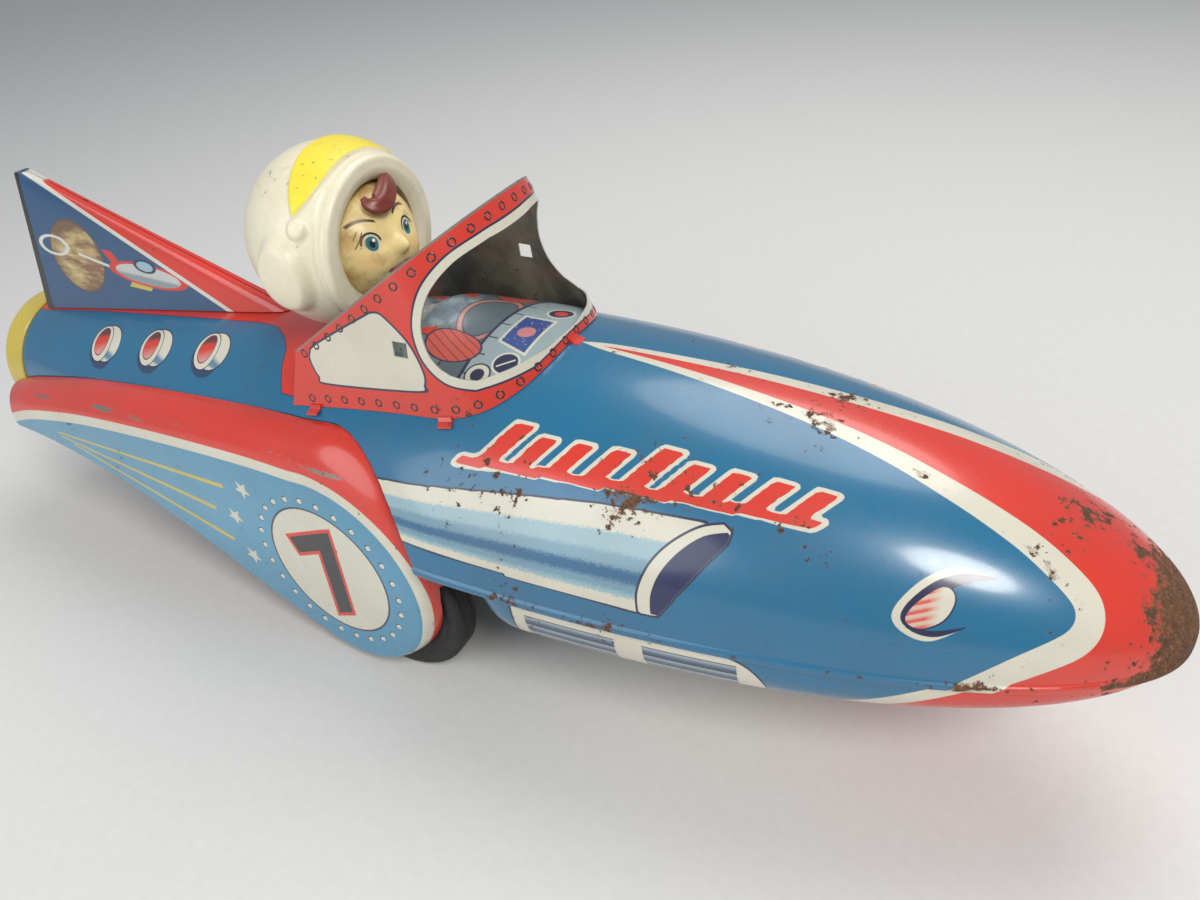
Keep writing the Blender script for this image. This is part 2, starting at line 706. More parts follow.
def print_hood(hood):
    """Stores the hood's printed outlines as distances on its surface."""
    places = folded(mesh_places(hood))
    angle = body_angle(places)
    plane = np.stack([places[:, 0], angle], axis=-1)

    def field(name, outline, steps=5):
        outline = smooth(outline, steps) if steps else np.array(outline, float)
        store(hood, name, outline_distance(places, plane, outline, on_body))

    blue = np.vstack([BLUE_FIELD[:4], smooth(BLUE_FIELD[3:-1], 6, closed=False)[1:], BLUE_FIELD[-1:]])
    field("blue", blue, 0)
    field("back", RED_BACK, 0)
    field("scoop", [*SCOOP_TOP, *SCOOP_MOUTH[1:], *SCOOP_LOW[-2::-1]], 0)
    mouth = [tuple(p) for p in smooth(SCOOP_MOUTH, 5, closed=False)]
    inner = [tuple(p) for p in smooth(MOUTH_INNER, 5, closed=False)]
    field("mouth", mouth + MOUTH_CUT, 0)
    field("throat", inner + MOUTH_CUT, 0)
    field("lamp", LAMP_OUTER)
    field("lamp_shade", LAMP_SHADE)
    field("lamp_glass", LAMP_GLASS)
    bars = [outline_distance(places, plane, np.array(bar), on_body) for bar in speed_bars()]
    store(hood, "bars", np.minimum.reduce(bars))
    top = np.interp(plane[:, 0], *zip(*SCOOP_TOP))
    low = np.interp(plane[:, 0], *zip(*SCOOP_LOW))
    store(hood, "rise", (angle - low) / (top - low))
    radius = (body_half_width(places[:, 0]) + body_height(places[:, 0])) / 2
    store(hood, "around", radius * np.radians(angle))


def porthole(finish, x, around, centre, colours):
    """Layers of one printed tube end: shadow, chrome tube, rim and red bore."""
    cx, angle = centre
    cv = math.radians(angle) * float(body_half_width(cx) + body_height(cx)) / 2
    u = x - cx
    v = around - cv
    tube = ellipse(u, v, 1.3, 0.5, 6.1, 5.9)
    face = ellipse(u, v, -1.7, -0.2, 4.5, 5.9)
    bore = ellipse(u, v, -2.0, 0.3, 2.9, 4.4)
    shadow = ellipse(u, v, -0.4, -2.4, 6.2, 5.9)
    shine = (v / 5.0 + (u * 0.05)).between(-0.75, -0.15, 0.3)
    return [
        (shadow.below(1.0, 0.06) * 0.75, colours.navy),
        (tube.below(1.07, 0.03).most(face.below(1.08, 0.03)), colours.navy),
        (tube.below(1.0, 0.03), finish.layers(colours.cream, (shine, (0.11, 0.21, 0.32)),
                                              (v.below(-4.4, 1.0), colours.cream))),
        (face.below(1.06, 0.03) * face.above(0.99, 0.03) * u.above(-1.0, 2.0), colours.navy),
        (face.below(1.0, 0.03), colours.cream),
        (bore.below(1.08, 0.03), colours.navy),
        (bore.below(1.0, 0.04), finish.mix((v - u * 0.5).above(-1.5, 5.0), (0.62, 0.35, 0.30), colours.red)),
        (bore.below(1.0, 0.04) * (v - u * 0.4).above(3.0, 1.6), (0.10, 0.02, 0.02)),
    ]


def hood_finish():
    colours = bpy.context.scene.rocket_colours
    f = Finish("hood_litho")
    x, y, z = f.position()
    blue = f.attribute("blue")
    back = f.attribute("back")
    scoop = f.attribute("scoop")
    mouth = f.attribute("mouth")
    throat = f.attribute("throat")
    rise = f.attribute("rise")
    bars = f.attribute("bars")
    lamp = f.attribute("lamp")
    shade_line = f.attribute("lamp_shade")
    glass = f.attribute("lamp_glass")
    around = f.attribute("around")
    grain = f.noise(1900.0, 1.0, 0.5, shift=4.0) * 0.09 - 0.045
    tone = rise + grain
    border = ((x - 38.0) / 112.0).clipped() * 4.9 + 1.2
    pale = f.mix(0.45, colours.halftone, colours.azure)
    scoop_ink = f.layers(
        colours.cream,
        (tone.below(0.76, 0.035), colours.halftone), (tone.below(0.56, 0.05), pale),
        (tone.below(0.41, 0.05), (0.022, 0.115, 0.235)), (tone.below(0.27, 0.06), pale),
        (tone.below(0.17, 0.05), colours.halftone), (tone.below(0.115, 0.03), colours.cream))
    hatching = (around - x * 0.35).wrapped(1.9).below(0.9, 0.5) * 0.8
    glass_ink = f.layers((0.60, 0.42, 0.33), (hatching, colours.red), (x.above(130.4, 2.5), colours.cream))
    portholes = [layer for centre in PORTHOLES for layer in porthole(f, x, around, centre, colours)]
    ink = f.layers(
        colours.azure,
        (back.below(0.25, 0.1), colours.navy), (back.below(0.0, 0.15), colours.red),
        *portholes,
        (scoop.below(0.55), colours.navy), (scoop.below(0.0), scoop_ink),
        (mouth.below(0.55), colours.navy), (mouth.below(0.0), colours.cream),
        (throat.below(0.0), (0.006, 0.012, 0.070)),
        (bars.below(0.95), colours.cream), (bars.below(0.0), colours.red),
        (lamp.below(0.0), colours.cream), (shade_line.below(0.1), colours.navy),
        (glass.below(0.35), colours.navy), (glass.below(0.0), glass_ink),
        (blue.above(0.0), colours.cream), ((blue - border).above(0.0), colours.red))
    nose = ((x - 118.0) / 60.0).clipped()
    ridge = (1.0 - (abs(y) / 16.0).clipped()) * ((x - 60.0) / 60.0).clipped()
    seam = (1.0 - (abs(z - SEAM_Z + 1.2) / 2.6).clipped()) * ((x + 20.0) / 60.0).clipped()
    edge = (1.0 - (abs(blue - 1.5) / 4.5).clipped()) * ((x - 30.0) / 40.0).clipped()
    tip = ((x - 160.0) / 16.0).clipped()
    stain = (1.0 - (ellipse(x, around, 66.0, 31.0, 12.0, 7.0)).clipped()) * 0.36
    letters = (1.0 - (abs(bars) / 4.0).clipped()) * 0.16
    rusty = nose * 0.14 + ridge * 0.20 + seam * 0.26 + edge * 0.22 + tip * 0.30 + stain + letters
    worn = seam * 0.16 + edge * 0.10 + nose * 0.04
    return aged_tin(f, ink, worn, rusty)


class ROCKET_OT_hood(bpy.types.Operator):
    """Presses the upper body shell and prints it"""

    bl_idname = "rocket.hood"
    bl_label = "Upper shell"

    def execute(self, context):
        step = context.scene.rocket_sizes.print_step / MM
        hood = hood_solid("hood", 0.0, SKIRT_HEIGHT, step, int(150 / step))
        core = hood_solid("core", TIN, SKIRT_HEIGHT + 2, 6.0, 25)
        pocket = pod_pocket("pocket")
        wall = pod_pocket("wall", -TIN)
        pockets = [pocket, mirrored(pocket, "pocket_left")]
        walls = [wall, mirrored(wall, "wall_left")]
        combined(core, walls)
        combined(hood, [*pockets, core])
        print_hood(hood)
        finished(hood, hood_finish(), "rocket_body", "body_litho", "upper_shell")
        return {"FINISHED"}


# ---- lower shell, rear pan and tail cup ----------------------------------------------

LOUVRE_GROUPS = [(42.0, 65.0), (71.8, 93.5)]
CUP_LIP = 2.4
CUP_EDGE = 1.6


def belly_ring(x, inset, count):
    back = np.clip((STERN_X + STERN_RADIUS - x) / STERN_RADIUS, 0, 1)
    full = math.sqrt(max(1 - back * back, 0.0))
    place = x if x <= WIDEST_X else x + 0.8 * float(nose_share(x))
    wide = float(body_half_width(place)) + SKIRT_STEP - 0.8 - 0.9 * STERN_RADIUS * (1 - full) - inset
    share = float(nose_share(place))
    deep = BELLY_DEPTH * (1 - share ** 3) ** 0.6 * (0.3 + 0.7 * full) - inset
    wide, deep = max(wide, 0.4), max(deep, 0.4)
    ring = []
    for a in np.linspace(0, math.pi, count):
        c, s = math.cos(a), math.sin(a)
        y = wide * math.copysign(abs(c) ** (2 / BELLY_FULLNESS), c)
        z = SEAM_Z - 1.1 - deep * abs(s) ** (2 / BELLY_FULLNESS)
        ring.append((x, y, max(z, BELLY_FLAT_Z + inset)))
    lip = SEAM_Z - 1.1 + (3 if inset else 0)
    return [(x, ring[0][1], lip), *ring[1:-1], (x, ring[-1][1], lip)]


def belly_solid(name, inset, step, count):
    stern = STERN_X + inset + STERN_RADIUS * (1 - np.cos(np.linspace(0, math.pi / 2, 12)))
    nose = nose_stations(STERN_X + STERN_RADIUS, int(160 / step), inset)[1:] - 0.8 - inset
    return loft(name, [belly_ring(x, inset, count) for x in [*stern, *nose]])


def belly_finish():
    colours = bpy.context.scene.rocket_colours
    f = Finish("belly_litho")
    x, _, z = f.position()
    depth = SEAM_Z - z
    corner = ((x - 89.3).most(0.0) ** 2.0 + (13.0 - depth).most(0.0) ** 2.0) ** 0.5
    panel = (corner - 10.0).most(38.8 - x)
    pairs = [(panel.below(0.6), colours.navy), (panel.below(0.0), colours.cream)]
    for low, high in LOUVRE_GROUPS:
        group = x.between(low, high, 0.2) * depth.between(5.2, 16.8, 0.2)
        lean = (depth - 5.2) / 2.9
        slat = lean.wrapped(1.0)
        slats = f.layers((0.30, 0.36, 0.38), (slat.above(0.35, 0.3), (0.13, 0.19, 0.25)),
                         (slat.above(0.62, 0.3), (0.035, 0.06, 0.11)), (slat.below(0.10, 0.08), colours.navy))
        pairs.append((group, slats))
    edge = x - 138.0 + depth * 1.75
    pairs += [(edge.above(0.0, 0.3), colours.cream), (edge.above(7.0, 0.3), colours.red)]
    ink = f.layers(colours.azure, *pairs)
    rusty = ((x - 90.0) / 90.0).clipped() * 0.16 + (1.0 - (depth / 6.0).clipped()) * 0.14
    return aged_tin(f, ink, 0.06, rusty)


def inside_tin(name, ink, rusty=0.08):
    """Unprinted or plainly coated sheet."""
    f = Finish(name)
    return aged_tin(f, ink, 0.05, rusty, gloss=0.34, dirt=0.7)


class ROCKET_OT_belly(bpy.types.Operator):
    """Presses the lower shell and prints its louvres"""

    bl_idname = "rocket.belly"
    bl_label = "Lower shell"

    def execute(self, context):
        shell = belly_solid("belly", 0.0, 2.0, 90)
        core = belly_solid("belly_core", TIN, 6.0, 40)
        combined(shell, [core])
        finished(shell, belly_finish(), "rocket_body", "body_litho", "lower_shell")
        return {"FINISHED"}


class ROCKET_OT_tail(bpy.types.Operator):
    """Coats the rear pan and turns the tail cup"""

    bl_idname = "rocket.tail"
    bl_label = "Tail"

    def execute(self, context):
        colours = context.scene.rocket_colours
        recoated(inside_tin("pan_tin", colours.tin, 0.10), "tail_pan")
        end = -NOSE_X
        lip = [(20.2 + CUP_LIP * math.cos(a), end + CUP_LIP - CUP_LIP * math.sin(a))
               for a in np.linspace(0, math.pi / 2, 12)]
        mouth = [(16.6 - CUP_EDGE * math.sin(a), end + CUP_EDGE - CUP_EDGE * math.cos(a))
                 for a in np.linspace(0, math.pi / 2, 8)]
        profile = [(19.5, TAIL_X + 8), (20.0, TAIL_X + 8), (20.0, TAIL_X - 0.3), (22.3, TAIL_X - 0.3),
                   (22.6, TAIL_X - 0.6), *lip, *mouth, (12.0, TAIL_X - 2.0), (5.0, TAIL_X - 2.0),
                   (5.0, TAIL_X - 1.5), (19.5, TAIL_X - 1.5)]
        cup = turned("cup", profile, (0, 0, SEAM_Z), "X", 128, 30.0)
        f = Finish("cup_litho")
        x, y, z = f.position()
        radial = ellipse(y, z, 0.0, SEAM_Z, 1.0, 1.0)
        rim = (-x).between(NOSE_X - 1.2, NOSE_X + 1.0, 0.3) + radial.above(21.9, 0.3)
        floor = (-x).below(NOSE_X - 5.5, 0.5)
        ink = f.layers(colours.yellow, (floor * radial.below(12.6, 0.3), colours.red))
        finished(cup, aged_tin(f, ink, rim.clipped() * 0.14, 0.03), "rocket_body", "cup_yellow", "tail_cup")
        return {"FINISHED"}


# ---- pods ----------------------------------------------------------------------------

STARS = [(-52.3, 53.5), (-60.3, 41.1), (-58.6, 26.7)]
RAYS = [((-143.0, 46.6), (-60.9, 51.8)), ((-141.9, 45.4), (-68.6, 41.2)), ((-136.0, 44.0), (-65.4, 30.4))]
ROUNDEL = (-25.2, 34.2)
WELL_RADIUS = 25.5
WELL_Y = (-40.2, -10)
CUP_ROOM_RADIUS = 22.9
CUP_ROOM_X = (-199.4, -169.4)
NUMERAL_TILT = 25.0
STAR_TURN = 0.35


def pod_section(outline, turn, inset):
    """The pod's outline at one turn of its shoulder: 0 at the body, a quarter at the panel."""
    bulge = math.sin(turn)
    grown = pod_grown(outline, bulge, inset)
    out = 1 - math.cos(turn)
    rows = []
    for x, z in grown:
        panel = POD_PANEL_Y + POD_YAW * (x - AXLE.x) - inset
        root = flat_y(x) + GAP - (3 if inset else 0)
        rows.append((x, -(root + (panel - root) * (1 - out)), z))
    return rows


def pod_solid(name, inset, detail, turns):
    outline = pod_outline(detail)
    rings = [pod_section(outline, t, inset) for t in np.linspace(math.pi / 2, 0, turns)]
    centre = np.array([np.interp(outline[:, 0], [POD_TAIL_X, POD_X], [SEAM_Z - 10.5, POD_Z])]).T
    spine = np.stack([outline[:, 0] * 0.55 + POD_X * 0.45, outline[:, 1] * 0.4 + centre[:, 0] * 0.6], axis=-1)
    if detail > 2:
        for share in (0.12, 0.3, 0.6):
            mixed = outline * (1 - share) + spine * share
            rings.append([(x, -(POD_PANEL_Y + POD_YAW * (x - AXLE.x) - inset), z) for x, z in mixed])
    return loft(name, rings)


def star(x, z, centre, radius=3.3):
    """Signed distance to a five-pointed star, from two numbers of a tree."""
    u = x - centre[0]
    v = z - centre[1]
    size = (u * u + v * v) ** 0.5
    turn = abs((v.math("ARCTAN2", u) + STAR_TURN).wrapped(math.radians(72)) - math.radians(36))
    along, across = size * turn.math("COSINE"), size * turn.math("SINE")
    notch = (0.42 * radius, 0.0)
    tip = (radius * math.cos(math.radians(36)), radius * math.sin(math.radians(36)))
    edge = math.hypot(tip[0] - notch[0], tip[1])
    return ((along - notch[0]) * tip[1] - across * (tip[0] - notch[0])) / edge


def ray(x, z, tail, head, width=0.75):
    """Signed distance to a line that widens from its tail to its head."""
    size = math.dist(tail, head)
    ahead = ((head[0] - tail[0]) / size, (head[1] - tail[1]) / size)
    along = (x - tail[0]) * ahead[0] + (z - tail[1]) * ahead[1]
    across = abs((z - tail[1]) * ahead[0] - (x - tail[0]) * ahead[1])
    return (across - width * (0.35 + 0.65 * (along / size))).most(-along).most(along - size)


def numeral(x, y, z):
    """Signed distance to the roundel's numeral, a bar and a leg, that reads alike on both sides."""
    cosine, sine = math.cos(math.radians(NUMERAL_TILT)), math.sin(math.radians(NUMERAL_TILT))
    ahead = (x - ROUNDEL[0]) * (1.0 - 2.0 * y.above(0.0))
    u = ahead * cosine + (z - ROUNDEL[1]) * sine
    v = (z - ROUNDEL[1]) * cosine - ahead * sine
    bar = (abs(u) - 8.4).most(abs(v - 9.6) - 2.7)
    lean = (u - 4.6) * 0.905 - (v - 6.0) * 0.425
    leg = (abs(lean) - 2.9).most(abs(v + 1.2) - 13.4)
    return bar.least(leg)


def print_pod(pod):
    """Stores the pod's printed outlines as distances on its surface."""
    places = folded(mesh_places(pod))
    plane = places[:, [0, 2]]
    depth = np.clip(POD_PANEL_Y + POD_YAW * (places[:, 0] - AXLE.x) + places[:, 1], 0, POD_DEPTH)

    outline = pod_outline(3)
    near = outline_distance(places, plane, outline, reach=40.0)
    store(pod, "panel", np.where(near > 0, np.hypot(near, depth), near + depth * 3))


def pod_finish():
    colours = bpy.context.scene.rocket_colours
    f = Finish("pod_litho")
    x, y, z = f.position()
    panel = f.attribute("panel")
    flat = 1.0 - panel.above(0.0, 0.1)
    stars = star(x, z, STARS[0])
    for centre in STARS[1:]:
        stars = stars.least(star(x, z, centre))
    rays = ray(x, z, *RAYS[0])
    for ends in RAYS[1:]:
        rays = rays.least(ray(x, z, *ends))
    glyph = numeral(x, y, z)
    disc = ellipse(x, z, ROUNDEL[0], ROUNDEL[1], 1.0, 1.0)
    halo = f.mix((1.0 - (ellipse(x, z, -70.0, 40.0, 90.0, 26.0) * 0.8).clipped()) * 0.5,
                 colours.sky, (0.16, 0.38, 0.52))
    ink = f.layers(
        colours.red, (panel.below(4.6, 0.2), colours.cream), (panel.below(1.5, 0.2), halo),
        (rays.below(0.0, 0.15) * flat, colours.yellow), (stars.below(0.0, 0.12) * flat, colours.cream),
        (disc.below(21.5, 0.15), colours.navy), (disc.below(20.9, 0.2), colours.cream),
        (glyph.below(1.15, 0.15), colours.red), (glyph.below(0.0, 0.15), colours.black))
    crest = (1.0 - (abs(panel - 8.5) / 3.6).clipped()) * z.above(SEAM_Z - 8.0, 6.0)
    dirty = panel.between(0.5, 4.9, 0.6) * 0.20
    low = (1.0 - ((z - 8.0) / 22.0).clipped()) * 0.13
    return aged_tin(f, ink, crest * 0.24 + low * 0.5, dirty * 0.55 + low + crest * 0.05)


def scatter_tree(name, material, ring):
    """Geometry Nodes that stand flat rings, or low domes, on the points of a guide mesh."""
    tree = bpy.data.node_groups.new(name, "GeometryNodeTree")
    face = tree.interface
    face.new_socket("Geometry", in_out="INPUT", socket_type="NodeSocketGeometry")
    radius = face.new_socket("Radius", in_out="INPUT", socket_type="NodeSocketFloat")
    line = face.new_socket("Line", in_out="INPUT", socket_type="NodeSocketFloat")
    face.new_socket("Geometry", in_out="OUTPUT", socket_type="NodeSocketGeometry")

    def add(kind, settings=None, **inputs):
        node = tree.nodes.new(kind)
        for key, value in (settings or {}).items():
            setattr(node, key, value)
        for key, value in inputs.items():
            socket = node.inputs[key.replace("_", " ")]
            if isinstance(value, bpy.types.NodeSocket):
                tree.links.new(value, socket)
            else:
                socket.default_value = value
        return node.outputs

    source = add("NodeGroupInput")
    if ring:
        path = add("GeometryNodeCurvePrimitiveCircle", Resolution=28, Radius=source["Radius"])
        section = add("GeometryNodeCurvePrimitiveCircle", Resolution=8, Radius=source["Line"])
        shape = add("GeometryNodeCurveToMesh", Curve=path["Curve"], Profile_Curve=section["Curve"])["Mesh"]
        height = 0.35
    else:
        shape = add("GeometryNodeMeshUVSphere", Segments=16, Rings=8, Radius=source["Radius"])["Mesh"]
        height = 0.14
    low = add("GeometryNodeTransform", Geometry=shape, Scale=(1.0, 1.0, height))["Geometry"]
    points = add("GeometryNodeMeshToPoints", Mesh=source["Geometry"])[0]
    normal = add("GeometryNodeInputNamedAttribute", {"data_type": "FLOAT_VECTOR"}, Name="facing")[0]
    turn = add("FunctionNodeAlignRotationToVector", {"axis": "Z"}, Vector=normal)[0]
    copies = add("GeometryNodeInstanceOnPoints", Points=points, Instance=low, Rotation=turn)[0]
    real = add("GeometryNodeRealizeInstances", Geometry=copies)[0]
    coated = add("GeometryNodeSetMaterial", Geometry=real, Material=material)[0]
    add("NodeGroupOutput", Geometry=coated)
    return tree, radius.identifier, line.identifier


def scattered(name, places, facing, radius, material, line=0.0):
    """One mesh of equal rings, or of domes if line is 0, each turned to its facing."""
    guide = bpy.data.meshes.new(name)
    guide.from_pydata((np.asarray(places, float) * MM).tolist(), [], [])
    attribute = guide.attributes.new("facing", "FLOAT_VECTOR", "POINT")
    attribute.data.foreach_set("vector", np.asarray(facing, np.float32).ravel())
    obj = bpy.data.objects.new(name, guide)
    bpy.context.scene.collection.objects.link(obj)
    tree, radius_input, line_input = scatter_tree(name, material, line > 0)
    modifier = obj.modifiers.new("Scatter", "NODES")
    modifier.node_group = tree
    modifier[radius_input] = radius
    modifier[line_input] = line
    bake_down(obj)
    if not obj.data.polygons:
        raise RuntimeError(f"{name} came out empty")
    return obj


class ROCKET_OT_pods(bpy.types.Operator):
    """Presses the wheel pods, cuts their wheel wells and prints them"""

    bl_idname = "rocket.pods"
    bl_label = "Wheel pods"

    def execute(self, context):
        colours = context.scene.rocket_colours
        sizes = context.scene.rocket_sizes
        pod = pod_solid("pod_right", 0.0, 6, 22)
        core = pod_solid("pod_core", TIN, 2, 9)
        well = drum("well", WELL_RADIUS, WELL_Y, (AXLE.x, 0, AXLE.z), "Y")
        room = drum("room", CUP_ROOM_RADIUS, CUP_ROOM_X, (0, 0, SEAM_Z), "X")
        combined(pod, [core, well, room])
        print_pod(pod)
        litho = pod_finish()
        left = mirrored(pod, "pod_left")
        finished(pod, litho, "rocket_body", "pod_litho", "pod_right")
        finished(left, litho, "rocket_body", "pod_litho", "pod_left")
        dot = aged_tin(Finish("dot_litho"), colours.cream, 0.0, 0.03)
        turns = np.linspace(0, 2 * math.pi, sizes.dot_count, endpoint=False)
        circle = sizes.dot_circle / MM
        x = ROUNDEL[0] + circle * 1.06 * np.cos(turns)
        z = ROUNDEL[1] - 0.2 + circle * np.sin(turns)
        y = -(POD_PANEL_Y + POD_YAW * (x - AXLE.x))
        facing = [(POD_YAW, -1, 0)] * len(x)
        spots = np.stack([x, y, z], -1)
        ring_ink = aged_tin(Finish("dot_outline"), colours.navy, 0.0, 0.02)
        for name, size, coat, line in (("dots", sizes.dot_radius, dot, 0.0),
                                       ("dot_lines", sizes.dot_radius, ring_ink, sizes.ring_line * 0.8)):
            right = scattered(f"pod_{name}_right", spots, facing, size, coat, line)
            finished(mirrored(right, f"pod_{name}_left"), None, "rocket_body", "pod_litho")
            finished(right, None, "rocket_body", "pod_litho")
        recoated(inside_tin("clip_tin", colours.tin, 0.16), "pod_clip_right", "pod_clip_left")
        return {"FINISHED"}


# ---- fin -----------------------------------------------------------------------------

FIN_FRONT_X = -58.0
FIN_TOP_X = TAIL_X + 11.0
FIN_REAR_X = TAIL_X + 4.0
FIN_FOOT_HALF = 7.6
FIN_EDGE_LEAD = 3.5


def fin_form(across_count=40, up_count=44):
    """The right half of the fin as a closed skin."""
    base_z = SEAM_Z + TAIL_RADIUS - 6
    drop = FIN_TOP_Z - float(body_top(FIN_FRONT_X, 0))
    rings = []
    for up in np.linspace(0, 1, up_count):
        z = base_z + (FIN_TOP_Z - base_z) * up
        fall = (FIN_TOP_Z - z) / drop
        lead = FIN_TOP_X + FIN_EDGE_LEAD + (FIN_FRONT_X - FIN_TOP_X - FIN_EDGE_LEAD) * fall
        trail = FIN_REAR_X - 1 + (FIN_TOP_X - FIN_REAR_X) * up
        side = []
        for back in np.linspace(0, 1, across_count) ** 1.5:
            x = lead + (trail - lead) * (1 - math.cos(back * math.pi / 2))
            round_off = math.sqrt(max(0.0, 1 - (1 - min(back / 0.3, 1)) ** 2))
            half = FIN_FOOT_HALF * (1 - 0.7 * up) * (0.4 + 0.6 * back) * (0.35 + 0.65 * round_off)
            side.append((x, half))
        flat = [(x, -0.16, z) for x, half in reversed(side)]
        skin = [(x, -max(half, 0.2), z) for x, half in side]
        rings.append(skin + flat)
    return loft("fin_right", rings, 40.0)


def fin_finish():
    colours = bpy.context.scene.rocket_colours
    f = Finish("fin_litho")
    x, _, z = f.position()
    slope = (120.6 - 87.6) / (155.1 - 82.6)
    over = (z - 120.6 + (x + 155.1) * slope) * 0.91
    planet = ellipse(x, z, -142.3, 95.2, 11.3, 11.3)
    bands = f.noise(120.0, 4.0, 0.6, stretch=(0.6, 1.0, 2.2), shift=5.0)
    dusk = (planet - (x + 142.3) * 0.02 + (z - 95.2) * 0.02).above(0.85, 0.5) * 0.5
    ball = f.layers((0.42, 0.30, 0.12), (bands.above(0.50, 0.10), (0.21, 0.11, 0.045)),
                    (bands.below(0.40, 0.08), (0.58, 0.47, 0.22)), (dusk, (0.10, 0.05, 0.03)))
    u = (x + 112.0) * 0.98 - (z - 92.0) * 0.04
    v = (z - 92.0) + (x + 112.0) * 0.05
    craft = ellipse(u, v, 0.0, 0.6, 14.5, 3.3)
    canopy = ellipse(u, v, -0.5, 3.4, 4.2, 1.9)
    wing = (v + 4.4).above(0.0, 0.2) * v.below(-1.0, 0.2) * (u - v * 0.8).between(-5.4, 3.5, 0.3)
    tail = v.between(0.5, 6.0, 0.2) * (u + v * 0.9).between(-12.6, -8.6, 0.3)
    trail = (abs(v - 0.4 + (u + 13.0) * 0.14)).below(0.45, 0.2) * u.between(-29.0, -13.0, 0.3)
    loop = ellipse(x, z, -152.0, 97.8, 6.2, 3.0)
    loop_line = loop.between(0.86, 1.14, 0.06)
    ink = f.layers(
        colours.deep_blue,
        (planet.below(1.05, 0.03), (0.10, 0.06, 0.04)), (planet.below(1.0, 0.03), ball),
        (trail.most(loop_line), (0.62, 0.62, 0.56)),
        (tail, colours.red), (wing, colours.yellow),
        (craft.below(1.12, 0.04), colours.red), (craft.below(0.92, 0.05), (0.50, 0.52, 0.50)),
        (craft.below(0.92, 0.05) * v.below(0.0, 0.8) * 0.7, (0.14, 0.18, 0.21)),
        (canopy.below(1.1, 0.08), colours.navy), (canopy.below(0.8, 0.12), (0.30, 0.45, 0.52)),
        (over.above(-1.4, 0.15), (0.62, 0.60, 0.52)), (over.above(0.0, 0.15), colours.red),
        ((x + 158.4 + (120.0 - z) * 0.10).below(0.0, 0.2), colours.black))
    edge = (1.0 - (abs(over - 6.0) / 5.0).clipped()) * 0.10
    return aged_tin(f, ink, edge, edge + (1.0 - ((z - 74.0) / 12.0).clipped()) * 0.10)


class ROCKET_OT_fin(bpy.types.Operator):
    """Folds and prints the tail fin"""

    bl_idname = "rocket.fin"
    bl_label = "Tail fin"

    def execute(self, context):
        fin = fin_form()
        xs = np.linspace(TAIL_X + 0.2, -54, 60)
        rings = []
        for x in xs:
            wide = float(body_half_width(x))
            high = float(body_height(x))
            rings.append([(x, -(wide + GAP) * math.cos(a), SEAM_Z + (high + GAP) * math.sin(a))
                          for a in np.linspace(0.0, math.pi, 60)])
        combined(fin, [loft("fin_cutter", rings)], smooth_angle=40.0)
        litho = fin_finish()
        left = mirrored(fin, "fin_left")
        finished(fin, litho, "rocket_body", "fin_litho", "fin_half_right")
        finished(left, litho, "rocket_body", "fin_litho", "fin_half_left")
        return {"FINISHED"}


# ---- windscreen ----------------------------------------------------------------------

WINDOW = [(70, 29), (21.5, 29), (17.5, 26.5), (13.4, 21.0), (11.5, 14.5), (11.8, 9.5), (13.6, 5.2),
          (17.5, 1.7), (23, 0.3), (70, 9.5)]
SIDE_PORT = [(-24.5, 95.6), (-21.5, 98.6), (-3.6, 109.3), (-0.8, 110.6), (1.9, 110.0), (7.7, 104.4),
             (10.9, 97.4), (10.6, 93.8), (8.7, 92.4), (-19.8, 88.4), (-22.6, 89.6), (-24.6, 93.0)]
PRY_HOLE = [(3.4, 5.2), (7.4, 5.2), (7.4, 9.2), (3.4, 9.2)]
TAB_PLACES = (0.06, 0.325, 0.5, 0.675, 0.94)
TAB_HALF = 1.8
RING_ROWS = (("top", 0.015, 0.985), ("foot", 0.03, 0.97))


def screen_plan(at, half, front, rear, corner, fullness):
    """Plan of a U: straight sides, then a full rounded front; at runs from 0 to 1."""
    straight = 0.3
    side = -1 if at < 0.5 else 1
    along = at if at < 0.5 else 1 - at
    if along < straight:
        return rear + (corner - rear) * along / straight, side * half
    angle = (along - straight) / (0.5 - straight) * math.pi / 2
    x = corner + (front - corner) * math.sin(angle) ** (2 / fullness)
    return x, side * half * max(math.cos(angle), 0.0) ** (2 / fullness)


def screen_point(at, up, inset=0.0):
    """A point of the windscreen's face at a share of its way round and of its height."""
    fx, fy = screen_plan(at, **SCREEN_FOOT)
    ex, ey = screen_plan(at, **SCREEN_EDGE)
    foot = np.array([fx, fy, float(body_top(fx, fy)) + GAP])
    edge = np.array([ex, ey, CROWN_Z + SCREEN_RISE - SCREEN_SLOPE * (SCREEN_EDGE["front"] - ex)])
    point = foot + (edge - foot) * up
    if inset:
        step = 0.004
        ahead = screen_point(min(at + step, 1), up) - screen_point(max(at - step, 0), up)
        rise = edge - foot
        inward = np.cross(rise, ahead)
        inward /= max(np.linalg.norm(inward), 1e-6)
        if np.dot(inward[:2], point[:2]) > 0 and at not in (0, 1):
            inward = -inward
        point = point + inward * inset
    return point


def windscreen_solid():
    across, rows = 260, 56
    shares = np.linspace(0, 1, across)
    fine = np.sort(np.concatenate([shares, 0.5 + np.linspace(-0.02, 0.02, 5)]))
    rings = []
    for at in fine:
        outer = [screen_point(at, up) for up in np.linspace(0, 1, rows)]
        inner = [screen_point(at, up, TIN) for up in np.linspace(1, 0, rows)]
        rings.append([*outer, *inner])
    return loft("windscreen", rings, 30.0)


def above_crown(points):
    """Points in x and height above the crown, as x and z."""
    return np.array(points) + [0, CROWN_Z]


